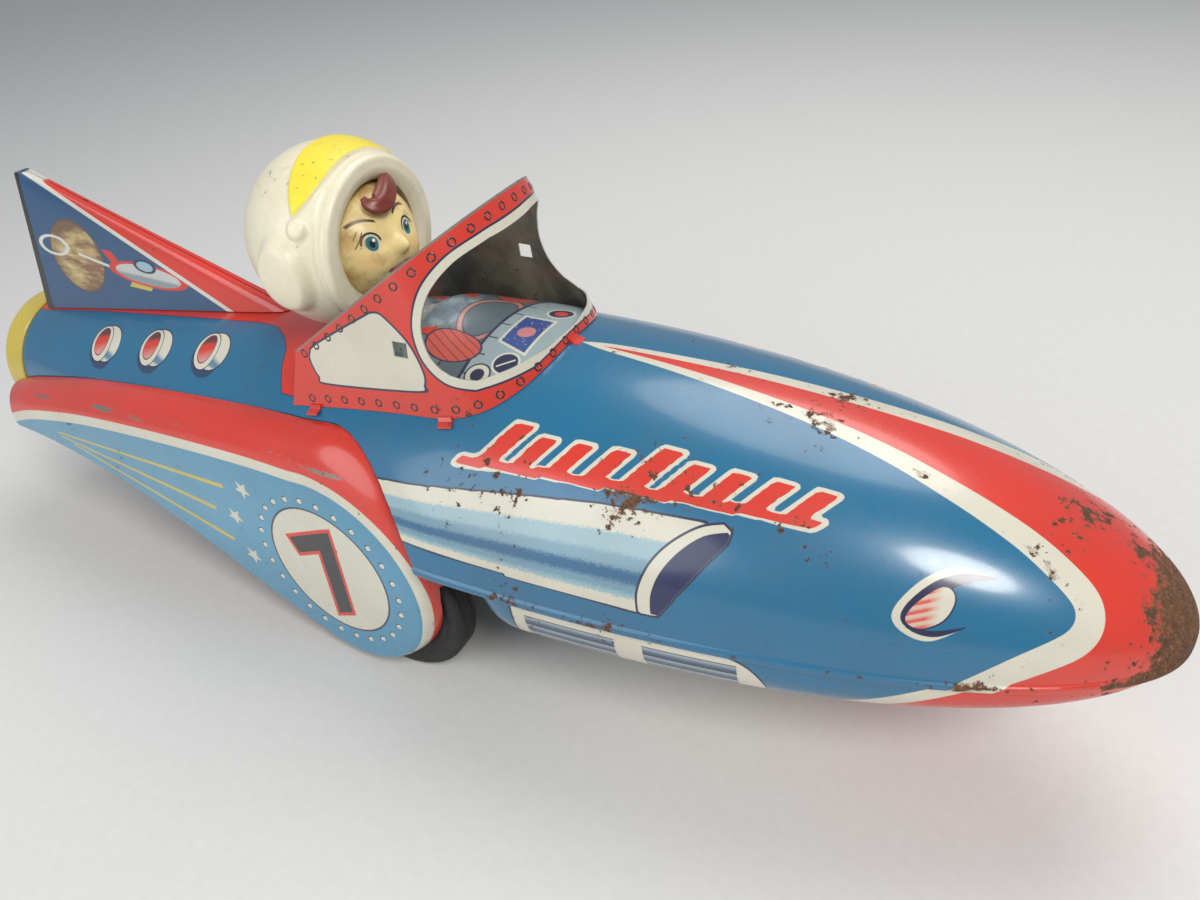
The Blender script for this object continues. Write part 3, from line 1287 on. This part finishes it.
def screen_cutter(name, outline):
    """A cutter that runs across the whole windscreen."""
    return loft(name, [[(x, y, z) for x, z in outline] for y in (-60, 60)])


def print_screen(screen, window):
    """Stores the windscreen's printed outlines as distances on its surface."""
    places = folded(mesh_places(screen))
    plane = places[:, [0, 2]]
    for name, up in (("top", 1.0), ("foot", 0.0)):
        line = np.array([screen_point(at, up) for at in np.linspace(0, 0.5, 60)])
        store(screen, name, line_distance(places, line, 30.0))
    store(screen, "window", outline_distance(places, plane, window))
    store(screen, "port", outline_distance(places, plane, smooth(SIDE_PORT, 5)))
    normals = np.zeros(len(places) * 3, np.float32)
    screen.data.vertices.foreach_get("normal", normals)
    normals = normals.reshape(-1, 3) * np.where(mesh_places(screen)[:, 1:2] > 0, [1, -1, 1], [1, 1, 1])
    outward = normals[:, 0] * np.clip(places[:, 0] + 4, 0, 40) / 30 + normals[:, 1] * places[:, 1] / 30
    store(screen, "outside", np.clip(outward * 4 + 0.5, 0, 1))


def screen_finish():
    colours = bpy.context.scene.rocket_colours
    f = Finish("screen_litho")
    top, foot = f.attribute("top"), f.attribute("foot")
    glass, port = f.attribute("window"), f.attribute("port")
    printed = f.layers(
        colours.red,
        (port.below(0.55), colours.navy), (port.below(0.0), colours.cream),
        (glass.below(2.4) * foot.above(1.7), colours.navy),
        (glass.below(1.9) * foot.above(2.1), colours.cream),
        (top.below(0.5, 0.2), (0.20, 0.17, 0.14)))
    stained = f.noise(90.0, 4.0, 0.6, shift=8.0)
    bare = f.layers((0.085, 0.080, 0.060), (stained.above(0.5, 0.2), (0.17, 0.155, 0.115)))
    ink = f.mix(f.attribute("outside"), bare, printed)
    return aged_tin(f, ink, (1.0 - (top / 2.0).clipped()) * 0.25, (1.0 - (foot / 4.0).clipped()) * 0.10)


def row_point(at, row, inset=0.0):
    """A point on one of the two rows of rivet rings, along the top edge or above the foot."""
    tall = np.linalg.norm(screen_point(at, 1) - screen_point(at, 0))
    low = 1.15 + 1.25 * min(1.0, abs(at - 0.5) / 0.18)
    return screen_point(at, 1 - 2.7 / tall if row == "top" else low / tall, inset)


def ring_spots(spacing):
    """Places of the rivet rings, evenly spaced along both rows, and the way each faces."""
    spots, facing = [], []
    for row, first, last in RING_ROWS:
        line = np.array([row_point(at, row) for at in np.linspace(first, last, 400)])
        run = np.concatenate([[0], np.cumsum(np.linalg.norm(np.diff(line, axis=0), axis=1))])
        for s in np.arange(spacing / 2, run[-1], spacing):
            at = first + (last - first) * float(np.interp(s, run, np.linspace(0, 1, len(run))))
            point = row_point(at, row)
            normal = point - row_point(at, row, 1.0)
            spots.append(point + normal * 0.02)
            facing.append(normal)
    return spots, facing


def screen_tab(name, at):
    """A tab bent outwards at the windscreen's foot."""
    foot, above = screen_point(at, 0.0), screen_point(at, 0.12)
    side = screen_point(min(at + 0.004, 1), 0.0) - screen_point(max(at - 0.004, 0), 0.0)
    side *= TAB_HALF / np.linalg.norm(side)
    rise = (above - foot) / np.linalg.norm(above - foot)
    out = np.cross(side, rise)
    out *= math.copysign(1, out[0] * (foot[0] + 4) + out[1] * foot[1]) / np.linalg.norm(out)
    top, low = foot + rise * 0.6, foot - rise * 0.4
    lip = low + (out - rise * 0.55) * 2.2
    section = [top - out * 0.05, top + out * 0.5, low + out * 0.8, lip + rise * 0.45, lip, low]
    return loft(name, [[p - side for p in section], [p + side for p in section]])


class ROCKET_OT_windscreen(bpy.types.Operator):
    """Bends the windscreen frame, cuts its window and pry holes, adds tabs and rings"""

    bl_idname = "rocket.windscreen"
    bl_label = "Windscreen"

    def execute(self, context):
        colours = context.scene.rocket_colours
        sizes = context.scene.rocket_sizes
        screen = windscreen_solid()
        corners = above_crown(WINDOW)
        window = np.vstack([corners[:1], smooth(corners[1:-1], 6, closed=False), corners[-1:]])
        cuts = [screen_cutter("window", window), screen_cutter("holes", above_crown(PRY_HOLE))]
        combined(screen, cuts, smooth_angle=30.0)
        print_screen(screen, window)
        finished(screen, screen_finish(), "rocket_body", "screen_litho", "windscreen")
        tabs = [screen_tab(f"tab_{i}", at) for i, at in enumerate(TAB_PLACES)]
        tab_red = aged_tin(Finish("tab_litho"), colours.red, 0.12, 0.10)
        finished(joined("screen_tabs", tabs), tab_red, "rocket_body", "screen_litho")
        ring_ink = aged_tin(Finish("ring_ink"), colours.black, 0.02, 0.02)
        spots, facing = ring_spots(sizes.ring_spacing / MM)
        rings = scattered("screen_rings", spots, facing, sizes.ring_radius, ring_ink, sizes.ring_line)
        finished(rings, None, "rocket_body", "screen_litho")
        return {"FINISHED"}


# ---- cockpit panel -------------------------------------------------------------------


def cockpit_height(x, y, half):
    wide = np.where(x < -3, 6.0, 10.0)
    chest = 4.5 * np.exp(-((x + 3) / wide) ** 2 - (y / 17) ** 2)
    return body_top(x, y) + 0.65 + chest * np.clip(half / SCREEN_FOOT["half"], 0, 1)


def cockpit_solid():
    rings = []
    for x in np.linspace(-20.5, 33, 110):
        share = float(np.clip((x - 8) / 26, 0, 1))
        half = 28.3 * (1 - share ** 2.6) ** (1 / 2.6)
        ys = np.linspace(-half, half, 90)
        top = [(x, y, float(cockpit_height(x, y, half))) for y in ys]
        low = [(x, y, float(cockpit_height(x, y, half)) - 0.4) for y in ys[::-1]]
        rings.append(top + low)
    return loft("cockpit", rings, 50.0)


def cockpit_finish():
    colours = bpy.context.scene.rocket_colours
    f = Finish("cockpit_print")
    x, y, _ = f.position()
    suit = (0.125, 0.185, 0.215)
    light = (0.30, 0.37, 0.38)
    folds = f.noise(160.0, 3.0, 0.6, shift=3.0)
    body = f.layers(suit, (folds.above(0.56, 0.1) * 0.7, light),
                    (folds.below(0.40, 0.08) * 0.6, (0.05, 0.08, 0.11)))
    chest = ellipse(x, y, -9.0, 0.0, 13.0, 21.0)
    hose = ellipse(x, y, -9.3, 2.4, 1.0, 1.0)
    ribs = hose.wrapped(1.6).below(0.7, 0.3)
    right_strap = (abs(y + x * 0.35 - 9.5)).below(1.7, 0.3) * x.below(1.0, 0.5)
    left_strap = (abs(y - x * 0.35 + 10.5)).below(1.7, 0.3) * x.below(1.0, 0.5)
    right_glove = ellipse(x, y, 7.5, -12.2, 7.5, 4.6)
    left_glove = ellipse(x, y, 7.0, 19.5, 5.4, 5.6)
    right_arm = ellipse(x, y, -4.0, -17.5, 10.5, 6.0)
    left_arm = ellipse(x, y, -3.0, 20.5, 10.5, 6.0)
    fingers = (y + x * 0.5).wrapped(2.1).below(0.45, 0.25)
    yoke = ellipse(x, y, 9.5, 2.5, 6.5, 12.5)
    yoke_ring = yoke.between(0.80, 1.02, 0.05) * x.below(13.5, 0.5)
    screen = x.between(18.3, 26.5, 0.2) * (y + (x - 18) * 0.34).above(-6.6, 0.2) * y.below(5.8, 0.2)
    bezel = x.between(17.6, 27.3, 0.2) * (y + (x - 18) * 0.34).above(-7.4, 0.2) * y.below(6.6, 0.2)
    planet = ellipse(x, y, 22.6, -1.5, 2.4, 2.4)
    stars = f.cells(900.0, 2.0).below(0.16, 0.05)
    dial = ellipse(x, y, 23.8, -13.9, 3.1, 3.1)
    fan = ellipse(x, y, 18.4, -18.8, 3.0, 3.0)
    far = ellipse(x, y, 25.0, 12.0, 3.2, 3.2)
    needle = (abs((y + 13.9) - (x - 23.8) * 0.8)).below(0.3, 0.15) * dial.below(0.8, 0.1)
    panel = x.above(13.6, 0.2)
    panel_ink = f.layers((0.27, 0.35, 0.37), ((x - 13.6).below(0.9, 0.2), colours.navy),
                         ((y.wrapped(6.4) - 3.2).below(-2.75, 0.1) * x.below(17.0, 0.2), colours.navy))
    ink = f.layers(
        (0.085, 0.120, 0.140),
        (chest.below(1.0, 0.05), body),
        (right_strap.most(left_strap) * chest.below(1.0, 0.05), colours.red),
        (hose.below(6.0, 0.2), colours.navy), (hose.below(5.4, 0.2) * ribs, colours.cream),
        (right_arm.below(1.05, 0.03).most(left_arm.below(1.05, 0.03)), colours.navy),
        (right_arm.below(1.0, 0.03).most(left_arm.below(1.0, 0.03)), body),
        (panel, panel_ink),
        (yoke_ring, colours.navy), (yoke.between(0.84, 0.98, 0.04) * x.below(13.5, 0.5), (0.45, 0.20, 0.15)),
        (right_glove.below(1.08, 0.04).most(left_glove.below(1.08, 0.04)), colours.navy),
        (right_glove.below(1.0, 0.04).most(left_glove.below(1.0, 0.04)),
         f.mix(fingers * 0.7, (0.56, 0.085, 0.06), (0.20, 0.02, 0.02))),
        (bezel, colours.cream), (screen, (0.02, 0.06, 0.24)),
        (screen * stars, colours.cream), (screen * planet.below(1.0, 0.08), (0.55, 0.20, 0.20)),
        (dial.below(1.18, 0.05), colours.cream), (dial.below(1.0, 0.05), colours.navy),
        (needle, colours.cream),
        (fan.below(1.15, 0.05), colours.navy), (fan.below(1.0, 0.05), colours.cream),
        (fan.below(0.6, 0.05), colours.navy),
        (far.below(1.2, 0.05), colours.cream), (far.below(1.0, 0.05), colours.navy),
        (far.below(0.55, 0.06), colours.red))
    return aged_tin(f, ink, 0.04, 0.02, gloss=0.36)


class ROCKET_OT_cockpit(bpy.types.Operator):
    """Presses and prints the cockpit insert"""

    bl_idname = "rocket.cockpit"
    bl_label = "Cockpit insert"

    def execute(self, context):
        finished(cockpit_solid(), cockpit_finish(), "rocket_body", "cockpit_litho", "cockpit_panel")
        return {"FINISHED"}


# ---- pilot ---------------------------------------------------------------------------

HEAD_Z = float(body_top(HEAD_X, 0)) + 23.5
HEAD = np.array([HEAD_X, 0.0, HEAD_Z])
FACE = np.array([4.6, 0.0, -1.0])
FACE_RADIUS = 16.8
FACE_OPENING = 49.0
NECK_GAP = 1.6
FACE_ROWS = 120


def direction(points):
    """Angle from the face's axis and angle round it, in degrees, of head points."""
    x, y, z = points.T
    polar = np.degrees(np.arccos(np.clip(x / np.maximum(np.linalg.norm(points, axis=1), 1e-6), -1, 1)))
    return polar, np.degrees(np.arctan2(z, y))


def unit_ring(polar, around):
    """Unit directions all round the face's axis, at an angle in degrees from it."""
    p = math.radians(polar)
    turns = np.linspace(0, 2 * math.pi, around, endpoint=False)
    return np.stack([np.full(around, math.cos(p)), math.sin(p) * np.cos(turns),
                     math.sin(p) * np.sin(turns)], -1)


def raised(distance, height, fade):
    """Height of a moulded feature that stands up inside its outline and fades at its edge."""
    t = np.clip(0.5 - distance / fade, 0, 1)
    return height * t * t * (3 - 2 * t)


def crescent_distance(polar, around):
    """Distance in degrees to the helmet's moulded crescent."""
    lean = np.abs(90 - around)
    front = 65.5 + 12 * (lean / 58) ** 4
    back = 91 - 14 * (lean / 58) ** 2
    return np.maximum(np.maximum(front - polar, polar - back), lean - 70)


def helmet_radius(unit):
    """Helmet's outer radius along unit directions."""
    polar, around = direction(unit)
    side = np.where(unit[:, 1] > 0, around, 180 - around)
    ridge = raised(np.abs(polar - 57.5) - 3.0, 1.0, 3.5)
    groove = -raised(np.abs(polar - 63.4) - 0.4, 0.45, 2.2)
    brim = -4.2 * np.clip((55.5 - polar) / 7.5, 0, 1) ** 2.2
    crescent = raised(crescent_distance(polar, side), 0.9, 2.2)
    ear = np.stack([unit[:, 0] * HEAD_RADIUS - 1.2, unit[:, 2] * HEAD_RADIUS + 1.7], -1)
    bulge = np.hypot(ear[:, 0] / 6.6, ear[:, 1] / 9.0)
    cup = raised((bulge - 1) * 7, 2.8, 3.4)
    knob_angle = np.radians(26)
    knob = np.array([math.cos(math.radians(74)),
                     math.sin(math.radians(74)) * math.cos(knob_angle),
                     math.sin(math.radians(74)) * math.sin(knob_angle)])
    near = np.minimum(np.linalg.norm(unit - knob, axis=1),
                      np.linalg.norm(unit - knob * [1, -1, 1], axis=1)) * HEAD_RADIUS
    return HEAD_RADIUS - 0.2 + ridge + groove + brim + crescent + np.where(polar > 62, cup, 0) \
        + raised(near - 2.3, 1.5, 1.6)


def helmet_mesh():
    """Helmet shell: outside, rolled opening, inner ball, closed at the neck by the body's form."""
    around = 220
    rings = []
    for polar in np.linspace(179.2, FACE_OPENING + 2, 150):
        unit = unit_ring(polar, around)
        rings.append(unit * helmet_radius(unit)[:, None])
    for past, drop in ((0.9, 0.5), (0.5, 1.2), (1.0, 2.2), (2.0, 3.0)):
        unit = unit_ring(FACE_OPENING + past, around)
        rings.append(unit * (helmet_radius(unit) - drop)[:, None])
    for polar in np.linspace(FACE_OPENING + 6, 179.2, 60):
        rings.append(unit_ring(polar, around) * (HEAD_RADIUS - 6.0))
    return loft("helmet", np.array(rings) + HEAD, 50.0)


def face_mesh():
    """Face ball with a nose, cheeks, chin and mouth."""
    around = 150
    unit = np.vstack([unit_ring(polar, around) for polar in np.linspace(0.8, 100, FACE_ROWS)])
    y, z = unit[:, 1] * FACE_RADIUS, unit[:, 2] * FACE_RADIUS

    def lump(cy, cz, ry, rz, height):
        return height * np.exp(-((y - cy) / ry) ** 2 - ((z - cz) / rz) ** 2)

    front = np.clip(unit[:, 0], 0, 1)
    radius = FACE_RADIUS - 0.6 + front * (
        lump(-1.5, 1.2, 1.9, 1.9, 2.3) + lump(-1.5, 3.0, 1.3, 3.2, 0.9)
        + lump(-7.6, -2.4, 3.4, 3.0, 1.0) + lump(4.6, -2.4, 3.4, 3.0, 1.0)
        + lump(-1.5, -8.4, 3.4, 2.2, 0.9) - lump(-1.5, -4.7, 4.2, 0.8, 0.8)
        - lump(-6.7, 3.6, 2.3, 1.8, 0.6) - lump(3.8, 3.6, 2.3, 1.8, 0.6))
    verts = unit * radius[:, None] + FACE + HEAD
    return loft("face", verts.reshape(FACE_ROWS, around, 3), 60.0)


def curl_mesh():
    """Moulded curl of hair that falls over the forehead."""
    path = smooth([(12.2, 8.2, 13.9), (15.0, 5.0, 13.9), (17.2, 1.6, 12.9), (18.4, -1.8, 11.6),
                   (18.3, -4.3, 11.3), (17.0, -5.7, 12.1), (15.6, -5.6, 13.2)], 10, closed=False)
    rings = []
    for i, point in enumerate(path):
        share = i / (len(path) - 1)
        ahead = path[min(i + 1, len(path) - 1)] - path[max(i - 1, 0)]
        ahead /= np.linalg.norm(ahead)
        out = point / np.linalg.norm(point)
        side = np.cross(ahead, out)
        side /= np.linalg.norm(side)
        up = np.cross(side, ahead)
        wide = 0.9 + 1.9 * math.sin(math.pi * min(share * 1.05, 1)) ** 0.8
        tall = 0.7 + 0.9 * math.sin(math.pi * min(share * 1.05, 1))
        ring = []
        for a in np.linspace(0, 2 * math.pi, 28, endpoint=False):
            strands = 1 + 0.10 * math.cos(5 * a)
            reach = side * wide * math.cos(a) + up * tall * math.sin(a)
            ring.append(HEAD + point + reach * strands)
        rings.append(ring)
    return loft("curl", rings, 60.0)


def vinyl(finish, ink, dirt=0.5):
    """Soft matt moulded vinyl with grime in it."""
    lumps = finish.noise(70.0, 4.0, 0.6, shift=6.0)
    fine = finish.noise(600.0, 3.0, 0.6, shift=7.0)
    grime = (lumps * 0.75 + fine * 0.35).above(0.64, 0.35) * dirt
    spots = (fine + (lumps - 0.5) * 0.6).above(0.745, 0.05) * 0.5
    base = finish.layers(ink, (grime * 0.55, (0.22, 0.16, 0.08)), (spots, (0.10, 0.06, 0.03)))
    return finish.surface(
        Base_Color=base, Roughness=0.26 + lumps * 0.16 + grime * 0.25, Subsurface_Weight=0.06,
        Subsurface_Scale=0.002, Normal=finish.bump(fine * 0.4 + lumps, 0.05))


def helmet_finish(helmet):
    colours = bpy.context.scene.rocket_colours
    unit = mesh_places(helmet) - HEAD
    polar, around = direction(unit)
    side = np.where(unit[:, 1] > 0, around, 180 - around)
    store(helmet, "crescent", crescent_distance(polar, side))
    f = Finish("helmet_vinyl")
    z = f.position()[2]
    ink = f.layers(colours.vinyl, (f.attribute("crescent").below(-0.4, 0.8), (0.80, 0.66, 0.045)))
    low = (1.0 - ((z - HEAD_Z + 18.0) / 14.0).clipped()) * 0.5
    return vinyl(f, f.mix(low * 0.5, ink, (0.34, 0.26, 0.15)), 0.35)


def face_finish():
    colours = bpy.context.scene.rocket_colours
    f = Finish("face_vinyl")
    _, y, z = f.position()
    y = y - HEAD[1]
    z = z - HEAD_Z
    middle = -2.4
    pairs = []
    for centre, side in ((-8.3, -1), (3.4, 1)):
        eye = ellipse(y, z, centre, 2.9, 1.9, 2.1)
        iris = ellipse(y, z, centre, 2.8, 1.5, 1.8)
        pupil = ellipse(y, z, centre, 2.7, 0.7, 0.9)
        glint = ellipse(y, z, centre + 0.6, 3.5, 0.4, 0.45)
        lid = ellipse(y, z, centre, 2.4, 2.3, 2.9)
        lashes = lid.between(0.93, 1.12, 0.05) * z.above(2.9, 0.4)
        across = y - centre
        outer = across * side
        fan = (outer * 1.3 + (z - 2.4)).wrapped(1.5).below(0.35, 0.2)
        lash_tips = fan * lid.between(1.05, 1.55, 0.05) * outer.above(0.9, 0.3) * z.above(2.2, 0.3)
        brow = abs(z - 8.3 + across * across * 0.10).below(0.33, 0.2) * abs(across).below(3.0, 0.3)
        pairs += [(eye.below(1.0, 0.06), (0.60, 0.55, 0.42)), (iris.below(1.0, 0.08), (0.030, 0.145, 0.165)),
                  (pupil.below(1.0, 0.12), (0.008, 0.012, 0.02)), (glint.below(1.0, 0.15), (0.8, 0.8, 0.78)),
                  (lashes.most(lash_tips), colours.black), (brow, (0.05, 0.02, 0.015))]
        blush = 1.0 - (ellipse(y, z, centre * 1.12, -1.6, 3.4, 2.8)).clipped()
        pairs.append((blush * 0.35, (0.75, 0.25, 0.10)))
    mouth = ellipse(y, z, middle, -5.2, 3.9, 1.5)
    lips = mouth.below(1.0, 0.08) * z.below(-4.6, 0.3)
    pairs += [(lips, (0.42, 0.06, 0.04)),
              (mouth.below(0.62, 0.1) * z.between(-5.4, -4.5, 0.2), (0.75, 0.70, 0.60))]
    blotch = f.noise(190.0, 4.0, 0.6, shift=9.0)
    rim = (ellipse(y, z, middle + 0.6, 0.5, 14.0, 13.0) * 0.62 + blotch * 0.75).above(0.93, 0.22)
    cheek = ((1.0 - ellipse(y, z, -8.5, -1.5, 7.0, 5.0).clipped()) * 0.5 + blotch * 0.9).above(0.83, 0.2)
    pairs += [(rim * 0.75, (0.36, 0.19, 0.05)), (cheek * 0.5, (0.20, 0.11, 0.04))]
    return vinyl(f, f.layers(colours.skin, *pairs), 0.35)


class ROCKET_OT_pilot(bpy.types.Operator):
    """Moulds the pilot's helmet, face and curl"""

    bl_idname = "rocket.pilot"
    bl_label = "Pilot"

    def execute(self, context):
        colours = context.scene.rocket_colours
        helmet = helmet_mesh()
        low = []
        for x in np.linspace(HEAD_X - 30, HEAD_X + 32, 40):
            row = np.linspace(-30, 30, 40)
            top = [(x, y, float(body_top(HEAD_X + math.hypot(x - HEAD_X, y), 0)) + NECK_GAP) for y in row]
            low.append(top + [(x, y, SEAM_Z) for y in row[::-1]])
        combined(helmet, [loft("neck_cut", low)], smooth_angle=50.0)
        finished(helmet, helmet_finish(helmet), "pilot", "vinyl", "pilot_head")
        finished(face_mesh(), face_finish(), "pilot", "vinyl")
        finished(curl_mesh(), vinyl(Finish("hair_paint"), colours.hair, 0.4), "pilot", "vinyl")
        recoated(inside_tin("collar_tin", colours.tin, 0.06), "neck_collar")
        return {"FINISHED"}


# ---- wheels and motor ----------------------------------------------------------------


def rubber_finish(name):
    f = Finish(name)
    lumps = f.noise(90.0, 4.0, 0.6)
    fine = f.noise(1300.0, 3.0, 0.6, shift=1.0)
    dust = (lumps * 0.7 + fine * 0.5).above(0.62, 0.3)
    base = f.layers((0.010, 0.010, 0.011), (dust * 0.4, (0.050, 0.044, 0.036)),
                    (fine.above(0.66, 0.1) * 0.5, (0.12, 0.10, 0.08)))
    return f.surface(Base_Color=base, Roughness=0.62 + dust * 0.25, Normal=f.bump(fine + lumps * 0.6, 0.12))


def metal_finish(name, tint, rusty=0.0, rough=0.32):
    f = Finish(name)
    lumps = f.noise(120.0, 4.0, 0.6)
    fine = f.noise(900.0, 4.0, 0.6, shift=1.3)
    drawn = f.noise(1600.0, 2.0, 0.5, stretch=(0.05, 1.0, 1.0), shift=2.0)
    rust = (fine * 0.6 + lumps * 0.6 + rusty).above(0.80, 0.10)
    colours = bpy.context.scene.rocket_colours
    base = f.layers(f.mix(drawn * 0.5, tuple(tint), tuple(c * 0.6 for c in tint)),
                    (lumps.above(0.5, 0.3) * 0.4, tuple(c * 0.35 for c in tint)), (rust, colours.rust))
    return f.surface(Base_Color=base, Metallic=1.0 - rust, Roughness=f.blend(rust, rough + drawn * 0.2, 0.85),
                     Normal=f.bump(fine * 0.6 + rust * 0.6 + drawn * 0.3, 0.06))


TYRE_SHOULDER = 2.6
GROOVES = (-0.38, 0.38)
GROOVE_DEPTH = 0.55


def tyre_profile():
    """Rounded tyre with two grooves, as (radius, along) points round its section."""
    points = []
    for t in np.linspace(-1, 1, 61):
        round_off = max(abs(t) - 0.55, 0) / 0.45
        r = WHEEL_RADIUS - TYRE_SHOULDER * (1 - math.sqrt(max(1 - round_off ** 2, 0)))
        for groove in GROOVES:
            r -= GROOVE_DEPTH * math.exp(-((t - groove) / 0.035) ** 2)
        points.append((r, t * TYRE_HALF))
    wall = [(WHEEL_RADIUS - 4.2, TYRE_HALF * 0.97), (WHEEL_RADIUS - 4.8, TYRE_HALF * 0.90),
            (WHEEL_RADIUS - 5.6, TYRE_HALF * 0.97), (RIM_RADIUS + 0.8, TYRE_HALF * 0.94),
            (RIM_RADIUS + 0.05, TYRE_HALF * 0.80)]
    return points + wall + [(r, -h) for r, h in reversed(wall)]


class ROCKET_OT_wheels(bpy.types.Operator):
    """Moulds the tyres and finishes the hubs, gears and axles"""

    bl_idname = "rocket.wheels"
    bl_label = "Wheels and motor"

    def execute(self, context):
        colours = context.scene.rocket_colours
        rubber = rubber_finish("tyre_rubber")
        for name, side in (("tyre_right", -1), ("tyre_left", 1)):
            tyre = turned("look_" + name, tyre_profile(), (AXLE.x, side * TYRE_MID_Y, AXLE.z), "Y", 160, 40.0)
            finished(tyre, rubber, "drive_wheels", "rubber", name)
        bright = metal_finish("bright_steel", (0.52, 0.51, 0.49), 0.06)
        zinc = metal_finish("zinc_plate", (0.40, 0.39, 0.36), 0.12, 0.42)
        brass = metal_finish("brass", (0.58, 0.40, 0.13), 0.0, 0.30)
        hub = inside_tin("hub_tin", colours.tin, 0.08)
        groups = [
            (bright, ("drive_axle", "idler_shaft", "flywheel_shaft", "tail_axle", "flywheel_right",
                      "flywheel_left", "motor_spacer_front", "motor_spacer_middle", "motor_spacer_rear")),
            (zinc, ("motor_plate_right", "motor_plate_left", "base_plate", "tail_fork")),
            (brass, ("drive_gear", "idler_gear", "flywheel_pinion")),
            (hub, ("wheel_hub_right", "wheel_hub_left")),
            (rubber, ("tail_wheel",)),
        ]
        for material, names in groups:
            recoated(material, *names)
        return {"FINISHED"}


# ---- stage ---------------------------------------------------------------------------

CAMERA_PLACE = Vector((142.8, -177.8, 209.9)) * MM
CAMERA_TURN = (30.15, 35.58, -5.52)
LENS = 28.8
FLOOR_REACH = 4000


def area_light(name, place, target, size, power, tint=(1, 1, 1)):
    lamp = bpy.data.lights.new(name, "AREA")
    lamp.shape = "DISK"
    lamp.size = size
    lamp.energy = power
    lamp.color = tint
    obj = bpy.data.objects.new(name, lamp)
    obj.location = place
    obj.rotation_euler = (Vector(target) - Vector(place)).to_track_quat("-Z", "Y").to_euler()
    bpy.context.scene.collection.objects.link(obj)


class ROCKET_OT_stage(bpy.types.Operator):
    """Sets the floor, the lights and the camera"""

    bl_idname = "rocket.stage"
    bl_label = "Stage"

    def execute(self, context):
        scene = context.scene
        corners = [(x * FLOOR_REACH, y * FLOOR_REACH, 0) for x, y in ((-1, -1), (1, -1), (1, 1), (-1, 1))]
        floor = new_object("floor", corners, [(0, 1, 2, 3)])
        f = Finish("floor_paper")
        grain = f.noise(300.0, 3.0, 0.6)
        paper = f.mix(grain, (0.60, 0.59, 0.57), (0.66, 0.65, 0.63))
        floor.data.materials.append(f.surface(Base_Color=paper, Roughness=0.8))
        world = bpy.data.worlds.new("studio")
        world.use_nodes = True
        world.node_tree.nodes["Background"].inputs[0].default_value = (0.80, 0.86, 0.95, 1)
        world.node_tree.nodes["Background"].inputs[1].default_value = 0.42
        scene.world = world
        area_light("window_light", (0.10, 0.35, 0.75), (0.02, 0, 0.06), 0.60, 3.4, (1, 0.98, 0.95))
        area_light("front_light", (0.62, -0.42, 0.80), (0.05, 0, 0.05), 0.34, 6.0, (1, 0.97, 0.92))
        area_light("side_light", (-0.35, -0.85, 0.45), (-0.05, 0, 0.05), 0.9, 5.0, (0.94, 0.97, 1))
        azimuth, elevation, roll = (math.radians(v) for v in CAMERA_TURN)
        back = Vector((math.sin(azimuth) * math.cos(elevation), -math.cos(azimuth) * math.cos(elevation),
                       math.sin(elevation)))
        right = Vector((math.cos(azimuth), math.sin(azimuth), 0))
        up = back.cross(right)
        turned_right = right * math.cos(roll) + up * math.sin(roll)
        turned_up = -right * math.sin(roll) + up * math.cos(roll)
        camera = bpy.data.cameras.new("camera")
        camera.lens = LENS
        camera.clip_start = 0.01
        obj = bpy.data.objects.new("camera", camera)
        obj.matrix_world = Matrix.Translation(CAMERA_PLACE) @ Matrix(
            (turned_right, turned_up, back)).transposed().to_4x4()
        scene.collection.objects.link(obj)
        scene.camera = obj
        scene.view_settings.view_transform = "Standard"
        return {"FINISHED"}


class ROCKET_PT_panel(bpy.types.Panel):
    """Sidebar panel with the sizes, the colours and one button per piece"""

    bl_idname = "ROCKET_PT_panel"
    bl_label = "Tin rocket racer"
    bl_space_type = "VIEW_3D"
    bl_region_type = "UI"
    bl_category = "Tin Rocket"

    def draw(self, context):
        for name in RocketSizes.__annotations__:
            self.layout.prop(context.scene.rocket_sizes, name)
        for name in RocketColours.__annotations__:
            self.layout.prop(context.scene.rocket_colours, name)
        for operator in OPERATORS:
            self.layout.operator(operator.bl_idname)


OPERATORS = (ROCKET_OT_hood, ROCKET_OT_belly, ROCKET_OT_tail, ROCKET_OT_pods, ROCKET_OT_fin,
             ROCKET_OT_windscreen, ROCKET_OT_cockpit, ROCKET_OT_pilot, ROCKET_OT_wheels, ROCKET_OT_stage)
CLASSES = (RocketSizes, RocketColours, *OPERATORS, ROCKET_PT_panel)


def register():
    for item in CLASSES:
        bpy.utils.register_class(item)
    bpy.types.Scene.rocket_sizes = bpy.props.PointerProperty(type=RocketSizes)
    bpy.types.Scene.rocket_colours = bpy.props.PointerProperty(type=RocketColours)


def unregister():
    del bpy.types.Scene.rocket_colours
    del bpy.types.Scene.rocket_sizes
    for item in reversed(CLASSES):
        bpy.utils.unregister_class(item)


def main():
    register()
    for operator in OPERATORS:
        group, name = operator.bl_idname.split(".")
        getattr(getattr(bpy.ops, group), name)()


if __name__ == "__main__":
    main()
